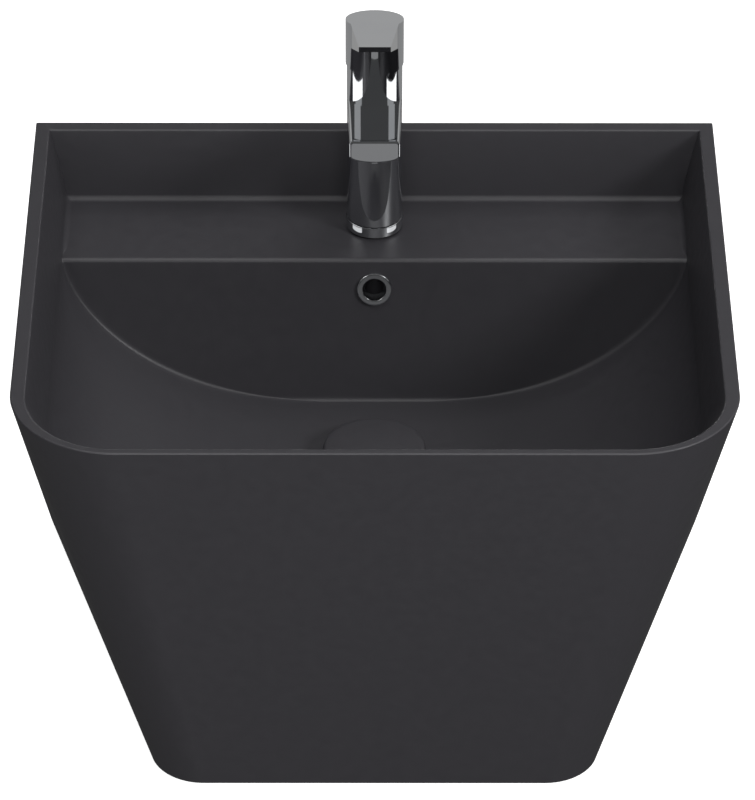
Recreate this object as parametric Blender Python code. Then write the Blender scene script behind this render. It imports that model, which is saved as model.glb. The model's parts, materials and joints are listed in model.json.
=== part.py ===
"""A wall-hung monoblock washbasin with a single-lever mixer, its waste, its bottle trap and its wall fixings.

Metres, +Z up. X is across the basin, -Y is the front and +Y the wall. The origin is under the middle of the
basin's box, on the plane that the ceramic foot stands on.
"""
import math

import bmesh
import bpy
from mathutils import Matrix, Vector

MM = 0.001
TOUCH = 0.3 * MM            # the gap left between two pieces that touch
PAST = 10 * MM              # how far a cutter runs past what it cuts

# --- the ceramic ------------------------------------------------------------------------------------------
WIDTH = 550 * MM
DEPTH = 475 * MM
HEIGHT = 395 * MM
RIM_CORNER = 82 * MM        # radius of the rim's front corners
FOOT_FRONT = 337 * MM       # width between the foot's front corners, before they are rounded
FOOT_SETBACK = 110 * MM     # how far the foot stands back from the front of the rim
FOOT_CORNER = 43.5 * MM
RIM_SIDE = 11.5 * MM        # thickness of the rim at the sides, at the back and at the front
RIM_BACK = 11.5 * MM
RIM_FRONT = 6.5 * MM
SHELL = 11 * MM             # wall of the shroud
BOWL_WALL = 11 * MM         # wall of the bowl, and the thickness of its floor
DECK_DROP = 66 * MM         # the tap's shelf below the rim
DECK_LENGTH = 92 * MM       # the shelf from the upstand to the bowl
DECK_TAPER = 12 * MM        # how far each side wall leans in, from the rim to the shelf
DECK_THICK = 14 * MM
BOWL_DEPTH = 188 * MM       # rim to bowl floor
BOWL_LEAN = math.radians(10)   # the bowl's back wall leans forward
BOWL_FLAT = 42 * MM         # half width of the flat in the bowl floor
BOWL_FRONT_SWEEP = 45 * MM  # how far the bowl's front wall curves in, over and above the shell's own slope
BOWL_CORNER_GROWS = 90 * MM # the bowl's front corners are rounder at the floor than at the rim
SIDE_START, SIDE_END = 1.6, 0.45   # exponents of the sides' curve: a slow start at the shelf, a tight end
RAIL_HEIGHT = 90 * MM       # the fixing rail that hangs from the shelf, at the wall
ARC_STEPS = 16

# --- the waste ---------------------------------------------------------------------------------------------
DRAIN_FROM_WALL = 214 * MM
DRAIN_SEAT_DEEP = 3.5 * MM  # the recess for the waste's flange
FLANGE_STEP = 11 * MM       # how far the waste's flange stands out from its tube
WASTE_TUBE = 40 * MM
WASTE_ROOM = 2.5 * MM       # all round the tube, for the overflow water
WASTE_WALL = 3 * MM
WASTE_LENGTH = 72 * MM      # from the bowl floor to the end of the thread
GASKET_THICK = 1 * MM
BOSS_WALL = 9 * MM          # ceramic round the waste's bore
CAP_WIDTH = 82 * MM
CAP_THICK = 11 * MM
CAP_TRAVEL = 6.5 * MM
CAP_SHUT_GAP = 1 * MM       # under the cap's edge when it is pressed shut
STEM_WIDTH = 9 * MM
HOLDER_DOWN = 26 * MM       # top of the click holder below the bowl floor
HOLDER_THICK = 6 * MM
SPRING_WIRE = 1.1 * MM
SPRING_TURNS = 5
BACKNUT = WASTE_TUBE + 18 * MM
BACKNUT_HIGH = 8 * MM
OVERFLOW_LIP = 4.7 * MM     # how far the ring's face reaches past its hole
OVERFLOW_HOLE = 18.6 * MM   # through the ring
OVERFLOW_SLEEVE = 1.4 * MM  # wall of the ring's sleeve
OVERFLOW_RING_DEEP = 11 * MM    # the ring's sleeve in the wall
OVERFLOW_RING_PROUD = 2.6 * MM  # the ring's face in front of the wall
OVERFLOW_DROP = 25 * MM     # centre of the overflow below the shelf
CHANNEL_WIDE = 15 * MM      # bore of the overflow channel
CHANNEL_WALL = 8 * MM

# --- the trap ----------------------------------------------------------------------------------------------
PIPE = 32 * MM
PIPE_WALL = 1.5 * MM
TRAP_BODY = 62 * MM
TRAP_WALL = 2.5 * MM
INLET_SHOWS = 15 * MM       # the length of inlet pipe between the trap's two upper nuts
TRAP_HIGH = 86 * MM         # from the cup's bottom to the shoulder under the collar
CUP_HIGH = 31 * MM
COLLAR_HIGH = 12 * MM
OUTLET_DOWN = 20 * MM       # outlet's axis below the shoulder
STUB = 22 * MM              # how far the outlet's socket stands out from the trap's side
NUT_WALL = 4.5 * MM
NUT_HIGH = 14 * MM
NUT_LIP = 2.5 * MM
FLANGE = 2 * MM
SEAL_THICK = 2 * MM
ROSETTE = 66 * MM
ROSETTE_DEEP = 12 * MM

# --- the mixer ---------------------------------------------------------------------------------------------
TAP_FROM_WALL = 51 * MM
TAP_HOLE = 35 * MM
COLUMN = 44.5 * MM
COLUMN_HIGH = 153.5 * MM    # the seam under the handle, above the shelf
BASE_RING = 46 * MM
BASE_RING_HIGH = 9 * MM
SPOUT_TOP = 122 * MM        # where the spout's top meets the column, above the shelf
SPOUT_REACH = 88 * MM       # from the column's axis to the spout's front face
SPOUT_RISE = 10 * MM
SPOUT_ROOT_DEEP = 34 * MM
SPOUT_TIP_DEEP = 19.5 * MM
SPOUT_TIP_WIDE = 40 * MM
AERATOR = 22 * MM
AERATOR_BACK = 15 * MM      # the aerator's axis behind the spout's front face
AERATOR_SHOWS = 3.5 * MM
HANDLE = 46.5 * MM
HANDLE_HIGH = 39 * MM       # on the column's axis
HANDLE_TILT = math.radians(13)  # slope of the handle's flat top
LEVER_REACH = 74 * MM       # from the axis to the lever's tip, level
LEVER_ROOT_WIDE = 41 * MM
LEVER_ROOT_DEEP = 26 * MM
LEVER_TIP_WIDE = 25 * MM
LEVER_TIP_THICK = 4.5 * MM
DOME = 39 * MM
DOME_WALL = 1.6 * MM
DOME_MOUTH = 25 * MM        # the dome's opening, which the stem swings in
DOME_CLEAR = 0.8 * MM       # between the dome and the handle that turns over it
CARTRIDGE = 27 * MM
CARTRIDGE_THREAD = 1.2 * MM # how far the nut over the cartridge stands out past it
CARTRIDGE_FLOOR = 112 * MM  # above the shelf
CARTRIDGE_NUT_HIGH = 6 * MM
WATERWAY = 8 * MM           # from the cartridge to the aerator
OUTLET_PORT = 5 * MM
INLET_WAY = 6 * MM
ROTOR = 17 * MM
STEM = 6.4 * MM             # the square stem between cartridge and handle
STEM_HIGH = 29.5 * MM       # above the pivot
SCREW = 5 * MM              # fixes the handle to the stem, from behind
SCREW_LONG = 8 * MM
SCREW_DOWN = 4 * MM         # the screw's axis below the top of the stem
RUN = 0.3 * MM              # running clearance all round a piece that turns or slides
PIN = 3 * MM
LIFT_LIMIT = math.radians(25)
INLET_BORE = 34 * MM        # the hollow in the foot of the column
INLET_TOP = 60 * MM
SOCKET_DEEP = 10 * MM       # how far the tails and the stud go up into the column
TAIL = 10 * MM
TAIL_WALL = 1 * MM
TAIL_SPACING = 18 * MM
TAIL_FORWARD = 5 * MM       # of the column's axis
TAIL_BELOW = 88 * MM        # how far the copper tails reach below the shelf
STUD = 7.8 * MM
STUD_BACK = 9 * MM          # behind the column's axis
HORSESHOE = 46 * MM
HORSESHOE_THICK = 2.5 * MM
STUD_NUT = 13 * MM
STUD_NUT_HIGH = 8 * MM
STUD_BELOW = 18 * MM        # how far the stud runs on below the horseshoe

# --- the wall fixings --------------------------------------------------------------------------------------
FIXING_SPACING = 280 * MM
FIXING_BORE = 16 * MM
FIXING_STUD = 9.8 * MM
FIXING_STUD_LONG = 45 * MM
FIXING_BELOW_DECK = 55 * MM
FIXING_WASHER = 24 * MM
FIXING_WASHER_THICK = 2 * MM
FIXING_NUT = 17 * MM
FIXING_NUT_HIGH = 8 * MM

# --- sizes and places worked out from the ones above -------------------------------------------------------
WASTE_FLANGE = WASTE_TUBE + 2 * FLANGE_STEP
DRAIN_BORE = WASTE_TUBE + 2 * WASTE_ROOM
OVERFLOW_BORE = OVERFLOW_HOLE + 2 * (OVERFLOW_SLEEVE + TOUCH)
CARTRIDGE_BORE = CARTRIDGE + 2 * (CARTRIDGE_THREAD + TOUCH)
WALL_Y = DEPTH / 2
FRONT_Y = -DEPTH / 2
DECK_Z = HEIGHT - DECK_DROP
DECK_BACK_Y = WALL_Y - RIM_BACK
DECK_FRONT_Y = DECK_BACK_Y - DECK_LENGTH
FLOOR_Z = HEIGHT - BOWL_DEPTH
DRAIN = Vector((0, WALL_Y - DRAIN_FROM_WALL, FLOOR_Z))
TAP = Vector((0, WALL_Y - TAP_FROM_WALL, DECK_Z))
PIVOT = TAP + Vector((0, 0, COLUMN_HIGH + TOUCH))
CHANNEL_Z = FLOOR_Z - CHANNEL_WALL - CHANNEL_WIDE / 2
BOSS_BOTTOM_Z = CHANNEL_Z - CHANNEL_WIDE / 2 - CHANNEL_WALL
OVERFLOW_Z = DECK_Z - OVERFLOW_DROP
WASTE_END_Z = FLOOR_Z - WASTE_LENGTH
INLET_NUT_END_Z = WASTE_END_Z - SEAL_THICK - FLANGE - NUT_LIP - 3 * TOUCH
TRAP_FOOT_Z = INLET_NUT_END_Z - INLET_SHOWS - NUT_LIP - TOUCH - COLLAR_HIGH - TRAP_HIGH
UP = Vector((0, 0, 1))
BACK = Vector((0, 1, 0))


def bowl_back_y(z):
    """The leaning back wall of the bowl at height z."""
    return DECK_FRONT_Y - (DECK_Z - z) * math.tan(BOWL_LEAN)


OVERFLOW = Vector((0, bowl_back_y(OVERFLOW_Z), OVERFLOW_Z))
INTO_WALL = Vector((0, math.cos(BOWL_LEAN), -math.sin(BOWL_LEAN)))   # square to the leaning wall


# --- tools -------------------------------------------------------------------------------------------------

for old in list(bpy.data.objects):
    bpy.data.objects.remove(old, do_unlink=True)

parts = bpy.data.collections.new("washbasin")
cutters = bpy.data.collections.new("cutters")
bpy.context.scene.collection.children.link(parts)
bpy.context.scene.collection.children.link(cutters)
cutters.hide_render = True


def material(name, hex_colour, roughness, metallic=0.0):
    made = bpy.data.materials.new(name)
    made.use_nodes = True
    shader = made.node_tree.nodes["Principled BSDF"]
    srgb = [int(hex_colour[i:i + 2], 16) / 255 for i in (1, 3, 5)]
    linear = [c / 12.92 if c <= 0.04045 else ((c + 0.055) / 1.055) ** 2.4 for c in srgb]
    shader.inputs["Base Color"].default_value = (*linear, 1)
    shader.inputs["Roughness"].default_value = roughness
    shader.inputs["Metallic"].default_value = metallic
    made.diffuse_color = (*linear, 1)
    return made


CERAMIC = material("anthracite_ceramic", "#3A393D", 0.45)
CHROME = material("chrome", "#D8DADC", 0.06, 1.0)
BRASS = material("brass", "#B99A57", 0.3, 1.0)
STEEL = material("stainless_steel", "#A9ABAE", 0.3, 1.0)
COPPER = material("copper", "#B87447", 0.3, 1.0)
RUBBER = material("black_rubber", "#1C1C1D", 0.8)
PLASTIC = material("white_plastic", "#E4E4E0", 0.45)
GREY_PLASTIC = material("grey_plastic", "#8A8D91", 0.5)


def show(name, mesh, finish):
    """A part made of this mesh."""
    made = bpy.data.objects.new(name, mesh)
    mesh.materials.clear()
    mesh.materials.append(finish)
    parts.objects.link(made)
    return made


def cutter(name, mesh):
    made = bpy.data.objects.new("cut_" + name, mesh)
    cutters.objects.link(made)
    made.hide_render = True
    return made


def closed_mesh(name, bm):
    """The bmesh as a mesh with its seams welded and its faces looking out."""
    bmesh.ops.remove_doubles(bm, verts=bm.verts, dist=1e-6)
    bmesh.ops.recalc_face_normals(bm, faces=bm.faces)
    mesh = bpy.data.meshes.new(name)
    bm.to_mesh(mesh)
    bm.free()
    return mesh


def rod(name, width, start, end, steps=32):
    """A round bar from start to end."""
    start, end = Vector(start), Vector(end)
    bm = bmesh.new()
    bmesh.ops.create_cone(bm, cap_ends=True, segments=steps, radius1=width / 2, radius2=width / 2,
                          depth=(end - start).length)
    turn = UP.rotation_difference(end - start).to_matrix().to_4x4()
    bmesh.ops.transform(bm, matrix=Matrix.Translation((start + end) / 2) @ turn, verts=bm.verts)
    return closed_mesh(name, bm)


def box(name, low, high):
    low, high = Vector(low), Vector(high)
    bm = bmesh.new()
    bmesh.ops.create_cube(bm, size=1)
    bmesh.ops.scale(bm, vec=high - low, verts=bm.verts)
    bmesh.ops.translate(bm, vec=(low + high) / 2, verts=bm.verts)
    return closed_mesh(name, bm)


def turned(name, profile, place, axis=UP, steps=32):
    """A profile of (radius, distance along the axis) points, turned about the axis through place."""
    bm = bmesh.new()
    corners = [bm.verts.new((radius, 0, height)) for radius, height in profile]
    pairs = list(zip(corners, corners[1:] + corners[:1]))
    on_axis = [radius == 0 for radius, height in profile]
    edges = [bm.edges.new(pair) for pair in pairs if not (on_axis[0] and on_axis[-1] and pair[1] is corners[0])]
    bmesh.ops.spin(bm, geom=corners + edges, axis=(0, 0, 1), cent=(0, 0, 0), steps=steps, angle=math.tau,
                   use_merge=True)
    turn = UP.rotation_difference(axis).to_matrix().to_4x4()
    bmesh.ops.transform(bm, matrix=Matrix.Translation(place) @ turn, verts=bm.verts)
    return closed_mesh(name, bm)


def ring(name, outer, inner, low, high, place, axis=UP, steps=32):
    """A flat or tall ring, from its two widths and its two heights along the axis."""
    profile = [(inner / 2, low), (outer / 2, low), (outer / 2, high), (inner / 2, high)]
    return turned(name, profile, place, axis, steps)


def cap_nut(name, bore, thread, low, high, place, axis=UP):
    """A round union nut: a skirt over a thread of that width, and a lip at the high end that a pipe of width
    bore passes through."""
    outside = thread / 2 + NUT_WALL
    profile = [(thread / 2, low), (outside, low), (outside, high), (bore / 2, high), (bore / 2, high - NUT_LIP),
               (thread / 2, high - NUT_LIP)]
    return turned(name, profile, place, axis)


def loft(name, sections):
    """A solid through rings of points that all have the same count, closed at both ends."""
    bm = bmesh.new()
    rings = [[bm.verts.new(point) for point in section] for section in sections]
    for lower, upper in zip(rings, rings[1:]):
        for i in range(len(lower)):
            j = (i + 1) % len(lower)
            bm.faces.new((lower[i], lower[j], upper[j], upper[i]))
    bm.faces.new(rings[0])
    bm.faces.new(rings[-1])
    bmesh.ops.triangulate(bm, faces=[f for f in bm.faces if len(f.verts) > 4])
    return closed_mesh(name, bm)


def hull(name, points):
    bm = bmesh.new()
    verts = [bm.verts.new(point) for point in points]
    made = bmesh.ops.convex_hull(bm, input=verts)
    bmesh.ops.delete(bm, geom=[v for v in made["geom_interior"] if isinstance(v, bmesh.types.BMVert)],
                     context="VERTS")
    return closed_mesh(name, bm)


def hex_nut(name, across, bore, start, end, finish):
    """A hexagon nut between two points. Its width is across the flats."""
    made = show(name, rod(name, across / math.cos(math.pi / 6), start, end, steps=6), finish)
    middle, run = (Vector(start) + Vector(end)) / 2, Vector(end) - Vector(start)
    cut(made, rod(name + "_bore", bore, middle - run, middle + run))
    return made


def combine(target, operation, *meshes):
    """Cuts each mesh from the target, or joins it on."""
    for mesh in meshes:
        step = target.modifiers.new(mesh.name, "BOOLEAN")
        step.operation = operation
        step.solver = "MANIFOLD"
        step.object = cutter(mesh.name, mesh)


def cut(target, *meshes):
    combine(target, "DIFFERENCE", *meshes)


def join(target, *meshes):
    combine(target, "UNION", *meshes)


def arc(centre, radius, start, end, steps=ARC_STEPS):
    """Points on an arc in plan, the end ones included. Angles are in radians from +X."""
    return [Vector((centre[0] + radius * math.cos(start + (end - start) * i / steps),
                    centre[1] + radius * math.sin(start + (end - start) * i / steps)))
            for i in range(steps + 1)]


# --- the ceramic body --------------------------------------------------------------------------------------

def plan(half_back, half_front, front_y, corner, back_y):
    """The right half of an outline in plan, from the wall to the middle of the front: a side line from
    (half_back, back_y) towards (half_front, front_y), rounded there."""
    side = Vector((half_front - half_back, front_y - back_y)).normalized()
    out = Vector((-side.y, side.x))
    centre_y = front_y + corner
    centre_x = half_back + (-corner - (centre_y - back_y) * out.y) / out.x
    start = math.atan2(out.y, out.x)
    return [Vector((half_back, back_y))] + arc((centre_x, centre_y), corner, start, -math.pi / 2)


def outline(z, *args):
    """The whole outline, right side then left, as points at height z."""
    right = plan(*args)
    return [Vector((p.x, p.y, z)) for p in right] + [Vector((-p.x, p.y, z)) for p in reversed(right)]


def shroud(name, inset=0.0, beyond=0.0):
    """The tapering outside of the basin: the hull of the rim and the foot. It can be drawn in all round, and
    run on below the foot and behind the wall, to cut the hollow."""
    rim = outline(HEIGHT, WIDTH / 2 - inset, WIDTH / 2 - inset, FRONT_Y + inset, RIM_CORNER - inset,
                  WALL_Y + beyond)
    foot = outline(-beyond, WIDTH / 2 - inset, FOOT_FRONT / 2 - inset, FRONT_Y + FOOT_SETBACK + inset,
                   FOOT_CORNER - inset, WALL_Y + beyond)
    return hull(name, rim + foot)


def bowl_section(z, grow=0.0):
    """The bowl's outline at height z. Grown, it is the outside of the bowl's wall."""
    down = HEIGHT - z
    past_deck = min(down / DECK_DROP, 1)
    lowered = min(down / BOWL_DEPTH, 1)
    sunk = min(max((down - DECK_DROP) / (BOWL_DEPTH - DECK_DROP), 0), 1)
    half = side_wall_x(past_deck)
    if sunk > 0:
        # below the shelf each side curves in to the flat of the floor
        half = BOWL_FLAT + (half - BOWL_FLAT) * (1 - sunk ** SIDE_START) ** SIDE_END
    front_wall = RIM_FRONT + (SHELL - RIM_FRONT) * past_deck + FOOT_SETBACK / HEIGHT * down
    front = FRONT_Y + front_wall + BOWL_FRONT_SWEEP * (1 - (1 - lowered ** 2.5) ** 0.4)
    back = bowl_back_y(min(z, DECK_Z))
    corner = RIM_CORNER - RIM_SIDE + BOWL_CORNER_GROWS * lowered
    corner = min(corner, half * 0.95, (back - front) * 0.8)
    return outline(z - grow * sunk, half + grow, half + grow, front - grow, corner + grow, back + grow)


def side_wall_x(past_deck):
    """Half the width inside the basin, from the rim (0) to the shelf (1): each side wall leans in a little."""
    return WIDTH / 2 - RIM_SIDE - DECK_TAPER * (1 - (1 - past_deck) ** 1.3)


def bowl_heights():
    """Heights of the bowl's sections: closer together where the sides turn into the floor."""
    above = [HEIGHT - DECK_DROP * i / 4 for i in range(4)]
    below = [DECK_Z - (DECK_Z - FLOOR_Z) * math.sin(math.pi / 2 * i / 14) for i in range(15)]
    return above + below


def make_basin():
    body = show("basin_body", shroud("basin_body"), CERAMIC)

    def raised(section):
        return [p + Vector((0, 0, PAST)) for p in section]

    sections = [bowl_section(z) for z in bowl_heights()]
    bowl = loft("bowl", reversed([raised(sections[0])] + sections))

    # the recess over the shelf, a straight box as wide as the bowl is at each height
    def recess_section(share):
        half, z = side_wall_x(share), HEIGHT - DECK_DROP * share
        front = DECK_FRONT_Y - 5 * MM
        return [Vector((half, front, z)), Vector((half, DECK_BACK_Y, z)), Vector((-half, DECK_BACK_Y, z)),
                Vector((-half, front, z))]

    levels = [recess_section(i / 4) for i in range(4, -1, -1)]
    recess = loft("recess", levels + [raised(levels[-1])])

    # the hollow under it: everything inside the shell, less the bowl's wall, the shelf and what hangs from it
    hollow = cutter("hollow", shroud("hollow", SHELL, beyond=PAST))
    grown = [bowl_section(z, BOWL_WALL) for z in bowl_heights()]
    cut(hollow, loft("bowl_wall", reversed([raised(grown[0])] + grown)))
    half_in = WIDTH / 2
    cut(hollow, box("shelf_and_upstand", (-half_in, DECK_FRONT_Y - BOWL_WALL, DECK_Z - DECK_THICK),
                    (half_in, WALL_Y + 2 * PAST, HEIGHT + 1 * MM)))
    cut(hollow, box("fixing_rail", (-half_in, DECK_BACK_Y, DECK_Z - DECK_THICK - RAIL_HEIGHT),
                    (half_in, WALL_Y + 2 * PAST, DECK_Z)))

    # the boss under the waste, and the overflow's channel: down behind the bowl, then forward to the boss
    channel_top = OVERFLOW + INTO_WALL * (CHANNEL_WALL + CHANNEL_WIDE / 2)
    down_wall = Vector((0, math.sin(BOWL_LEAN), math.cos(BOWL_LEAN)))
    corner = channel_top - down_wall * (channel_top.z - CHANNEL_Z) / down_wall.z
    boss_side = Vector((0, DRAIN.y + DRAIN_BORE / 2, CHANNEL_Z))
    duct = CHANNEL_WIDE + 2 * CHANNEL_WALL
    duct_top = channel_top + down_wall * (OVERFLOW_BORE / 2 + CHANNEL_WALL)
    cut(hollow, rod("duct_down", duct, duct_top, corner - down_wall * CHANNEL_WIDE / 2))
    cut(hollow, rod("duct_forward", duct, corner + BACK * duct / 2, boss_side))
    boss = DRAIN_BORE + 2 * BOSS_WALL
    cut(hollow, rod("boss", boss, (0, DRAIN.y, BOSS_BOTTOM_Z), DRAIN, steps=40))

    cut(body, bowl, recess)
    step = body.modifiers.new("hollow", "BOOLEAN")
    step.operation = "DIFFERENCE"
    step.solver = "MANIFOLD"
    step.object = hollow
    cut(body, rod("channel_down", CHANNEL_WIDE, channel_top + down_wall * OVERFLOW_BORE / 2, corner),
        rod("channel_forward", CHANNEL_WIDE, corner + BACK * CHANNEL_WIDE / 4, boss_side - BACK * PAST / 2),
        rod("overflow_bore", OVERFLOW_BORE, OVERFLOW - INTO_WALL * PAST,
            OVERFLOW + INTO_WALL * (CHANNEL_WALL + CHANNEL_WIDE / 2)),
        rod("waste_bore", DRAIN_BORE, DRAIN + UP * PAST, (0, DRAIN.y, BOSS_BOTTOM_Z - PAST), steps=40),
        rod("waste_seat", WASTE_FLANGE + 2 * MM, DRAIN + UP * PAST, DRAIN - UP * DRAIN_SEAT_DEEP, steps=40),
        rod("tap_hole", TAP_HOLE, TAP + UP * PAST, TAP - UP * (DECK_THICK + PAST)))
    for side in (-1, 1):
        place = Vector((side * FIXING_SPACING / 2, WALL_Y, DECK_Z - FIXING_BELOW_DECK))
        cut(body, rod(f"fixing_bore_{side}", FIXING_BORE, place + BACK * PAST, place - BACK * (RIM_BACK + PAST)))
    return body


def make_overflow_ring():
    inner, outer = OVERFLOW_HOLE / 2, OVERFLOW_BORE / 2 - TOUCH
    flange = inner + OVERFLOW_LIP
    deep, proud = -OVERFLOW_RING_DEEP, OVERFLOW_RING_PROUD
    outer_round, inner_round = 1.2 * MM, 0.9 * MM
    profile = [(inner, deep), (outer, deep), (outer, TOUCH), (flange, TOUCH), (flange, proud - outer_round),
               (flange - outer_round, proud), (inner + inner_round, proud), (inner, proud - inner_round)]
    show("overflow_ring", turned("overflow_ring", profile, OVERFLOW, -INTO_WALL, steps=40), CHROME)


# --- the waste ---------------------------------------------------------------------------------------------

def make_waste():
    bore = WASTE_TUBE / 2 - WASTE_WALL
    tube = WASTE_TUBE / 2
    seat = -DRAIN_SEAT_DEEP + TOUCH
    show("waste_top_gasket", ring("waste_top_gasket", WASTE_FLANGE, WASTE_TUBE + 2 * TOUCH, seat,
                                  seat + GASKET_THICK, DRAIN), RUBBER)
    under = seat + GASKET_THICK + TOUCH
    body = show("waste_body", turned("waste_body", [
        (bore, -WASTE_LENGTH), (tube, -WASTE_LENGTH), (tube, under), (WASTE_FLANGE / 2, under),
        (WASTE_FLANGE / 2, -0.6 * MM), (WASTE_FLANGE / 2 - 1 * MM, 0), (bore + 1.5 * MM, 0), (bore, -1.5 * MM),
    ], DRAIN), CHROME)
    slot = CHANNEL_WIDE / 2 - 1 * MM
    middle = Vector((0, DRAIN.y, CHANNEL_Z))
    cut(body, box("overflow_slots", middle - Vector((slot, WASTE_TUBE, slot)),
                  middle + Vector((slot, WASTE_TUBE, slot))))

    nut_top = BOSS_BOTTOM_Z - DRAIN.z - 2 * TOUCH - 2 * SEAL_THICK
    show("waste_lower_gasket", ring("waste_lower_gasket", WASTE_TUBE + 20 * MM, WASTE_TUBE + 2 * TOUCH,
                                    nut_top + TOUCH, nut_top + TOUCH + 2 * SEAL_THICK, DRAIN), RUBBER)
    hex_nut("waste_backnut", BACKNUT, WASTE_TUBE + 2 * TOUCH, DRAIN + UP * nut_top,
            DRAIN + UP * (nut_top - BACKNUT_HIGH), BRASS)

    # the click holder: a hub on three arms inside the tube, round the stem
    top, low = -HOLDER_DOWN, -HOLDER_DOWN - HOLDER_THICK
    holder = show("click_holder", ring("click_holder", 2 * (bore - TOUCH), 2 * (bore - TOUCH) - 4 * MM, low, top,
                                       DRAIN), GREY_PLASTIC)
    join(holder, ring("hub", STEM_WIDTH + 8 * MM, STEM_WIDTH + 2 * RUN, low, top, DRAIN))
    for arm in range(3):
        turn = Matrix.Rotation(math.tau * arm / 3, 3, "Z")
        rib = box(f"arm_{arm}", (STEM_WIDTH / 2 + 2 * MM, -1.5 * MM, low + 1 * MM),
                  (bore - 1.5 * MM, 1.5 * MM, top - 1 * MM))
        rib.transform(Matrix.Translation(DRAIN) @ turn.to_4x4())
        join(holder, rib)

    # what moves: the cap, its seal and the stem, drawn in the open position
    edge = CAP_SHUT_GAP + CAP_TRAVEL
    half = CAP_WIDTH / 2
    crown = edge + CAP_THICK
    dome = [(half * i / 6, crown - 2.2 * MM * (i / 6) ** 2) for i in range(6)]
    hub = bore - 3.5 * MM
    seal_top = edge + 2.5 * MM
    show("waste_cap", turned("waste_cap", dome + [
        (half - 3 * MM, crown - 2.4 * MM), (half - 0.9 * MM, crown - 3.6 * MM), (half, crown - 5.8 * MM),
        (half, edge + 1.5 * MM), (half - 1.5 * MM, edge), (half - 5 * MM, edge),
        (half - 6 * MM, seal_top), (STEM_WIDTH / 2 + RUN, seal_top), (STEM_WIDTH / 2 + RUN, edge + 7 * MM),
        (0, edge + 7 * MM),
    ], DRAIN, steps=48), CERAMIC)
    show("cap_seal", ring("cap_seal", 2 * hub + 3 * MM, STEM_WIDTH + 2 * RUN, seal_top - TOUCH - 3 * MM,
                          seal_top - TOUCH, DRAIN), RUBBER)
    collar = seal_top - 2 * TOUCH - 3 * MM
    stem_end = -HOLDER_DOWN - HOLDER_THICK - CAP_TRAVEL
    show("waste_stem", turned("waste_stem", [
        (0, stem_end), (STEM_WIDTH / 2, stem_end), (STEM_WIDTH / 2, collar - 2 * MM),
        (STEM_WIDTH / 2 + 4 * MM, collar - 2 * MM), (STEM_WIDTH / 2 + 4 * MM, collar), (STEM_WIDTH / 2, collar),
        (STEM_WIDTH / 2, edge + 7 * MM - TOUCH), (0, edge + 7 * MM - TOUCH),
    ], DRAIN, steps=32), BRASS)

    # the spring stands on the hub and holds the collar up
    wire = SPRING_WIRE
    low, high = top + TOUCH + wire / 2, collar - 2 * MM - TOUCH - wire / 2
    make_spring("click_spring", DRAIN, STEM_WIDTH / 2 + RUN + wire, wire, low, high, SPRING_TURNS)


def make_spring(name, place, radius, wire, low, high, turns, points_a_turn=12):
    """A coil spring of round wire, centred on the vertical line through place."""
    line = bpy.data.curves.new(name, "CURVE")
    line.dimensions = "3D"
    line.bevel_depth = wire / 2
    line.bevel_resolution = 2
    line.use_fill_caps = True
    coil = line.splines.new("POLY")
    count = turns * points_a_turn + 1
    coil.points.add(count - 1)
    for i, point in enumerate(coil.points):
        angle = math.tau * i / points_a_turn
        height = low + (high - low) * i / (count - 1)
        point.co = (place.x + radius * math.cos(angle), place.y + radius * math.sin(angle), place.z + height, 1)
    made = bpy.data.objects.new(name, line)
    line.materials.append(STEEL)
    parts.objects.link(made)
    return made


# --- the trap ----------------------------------------------------------------------------------------------

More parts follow.
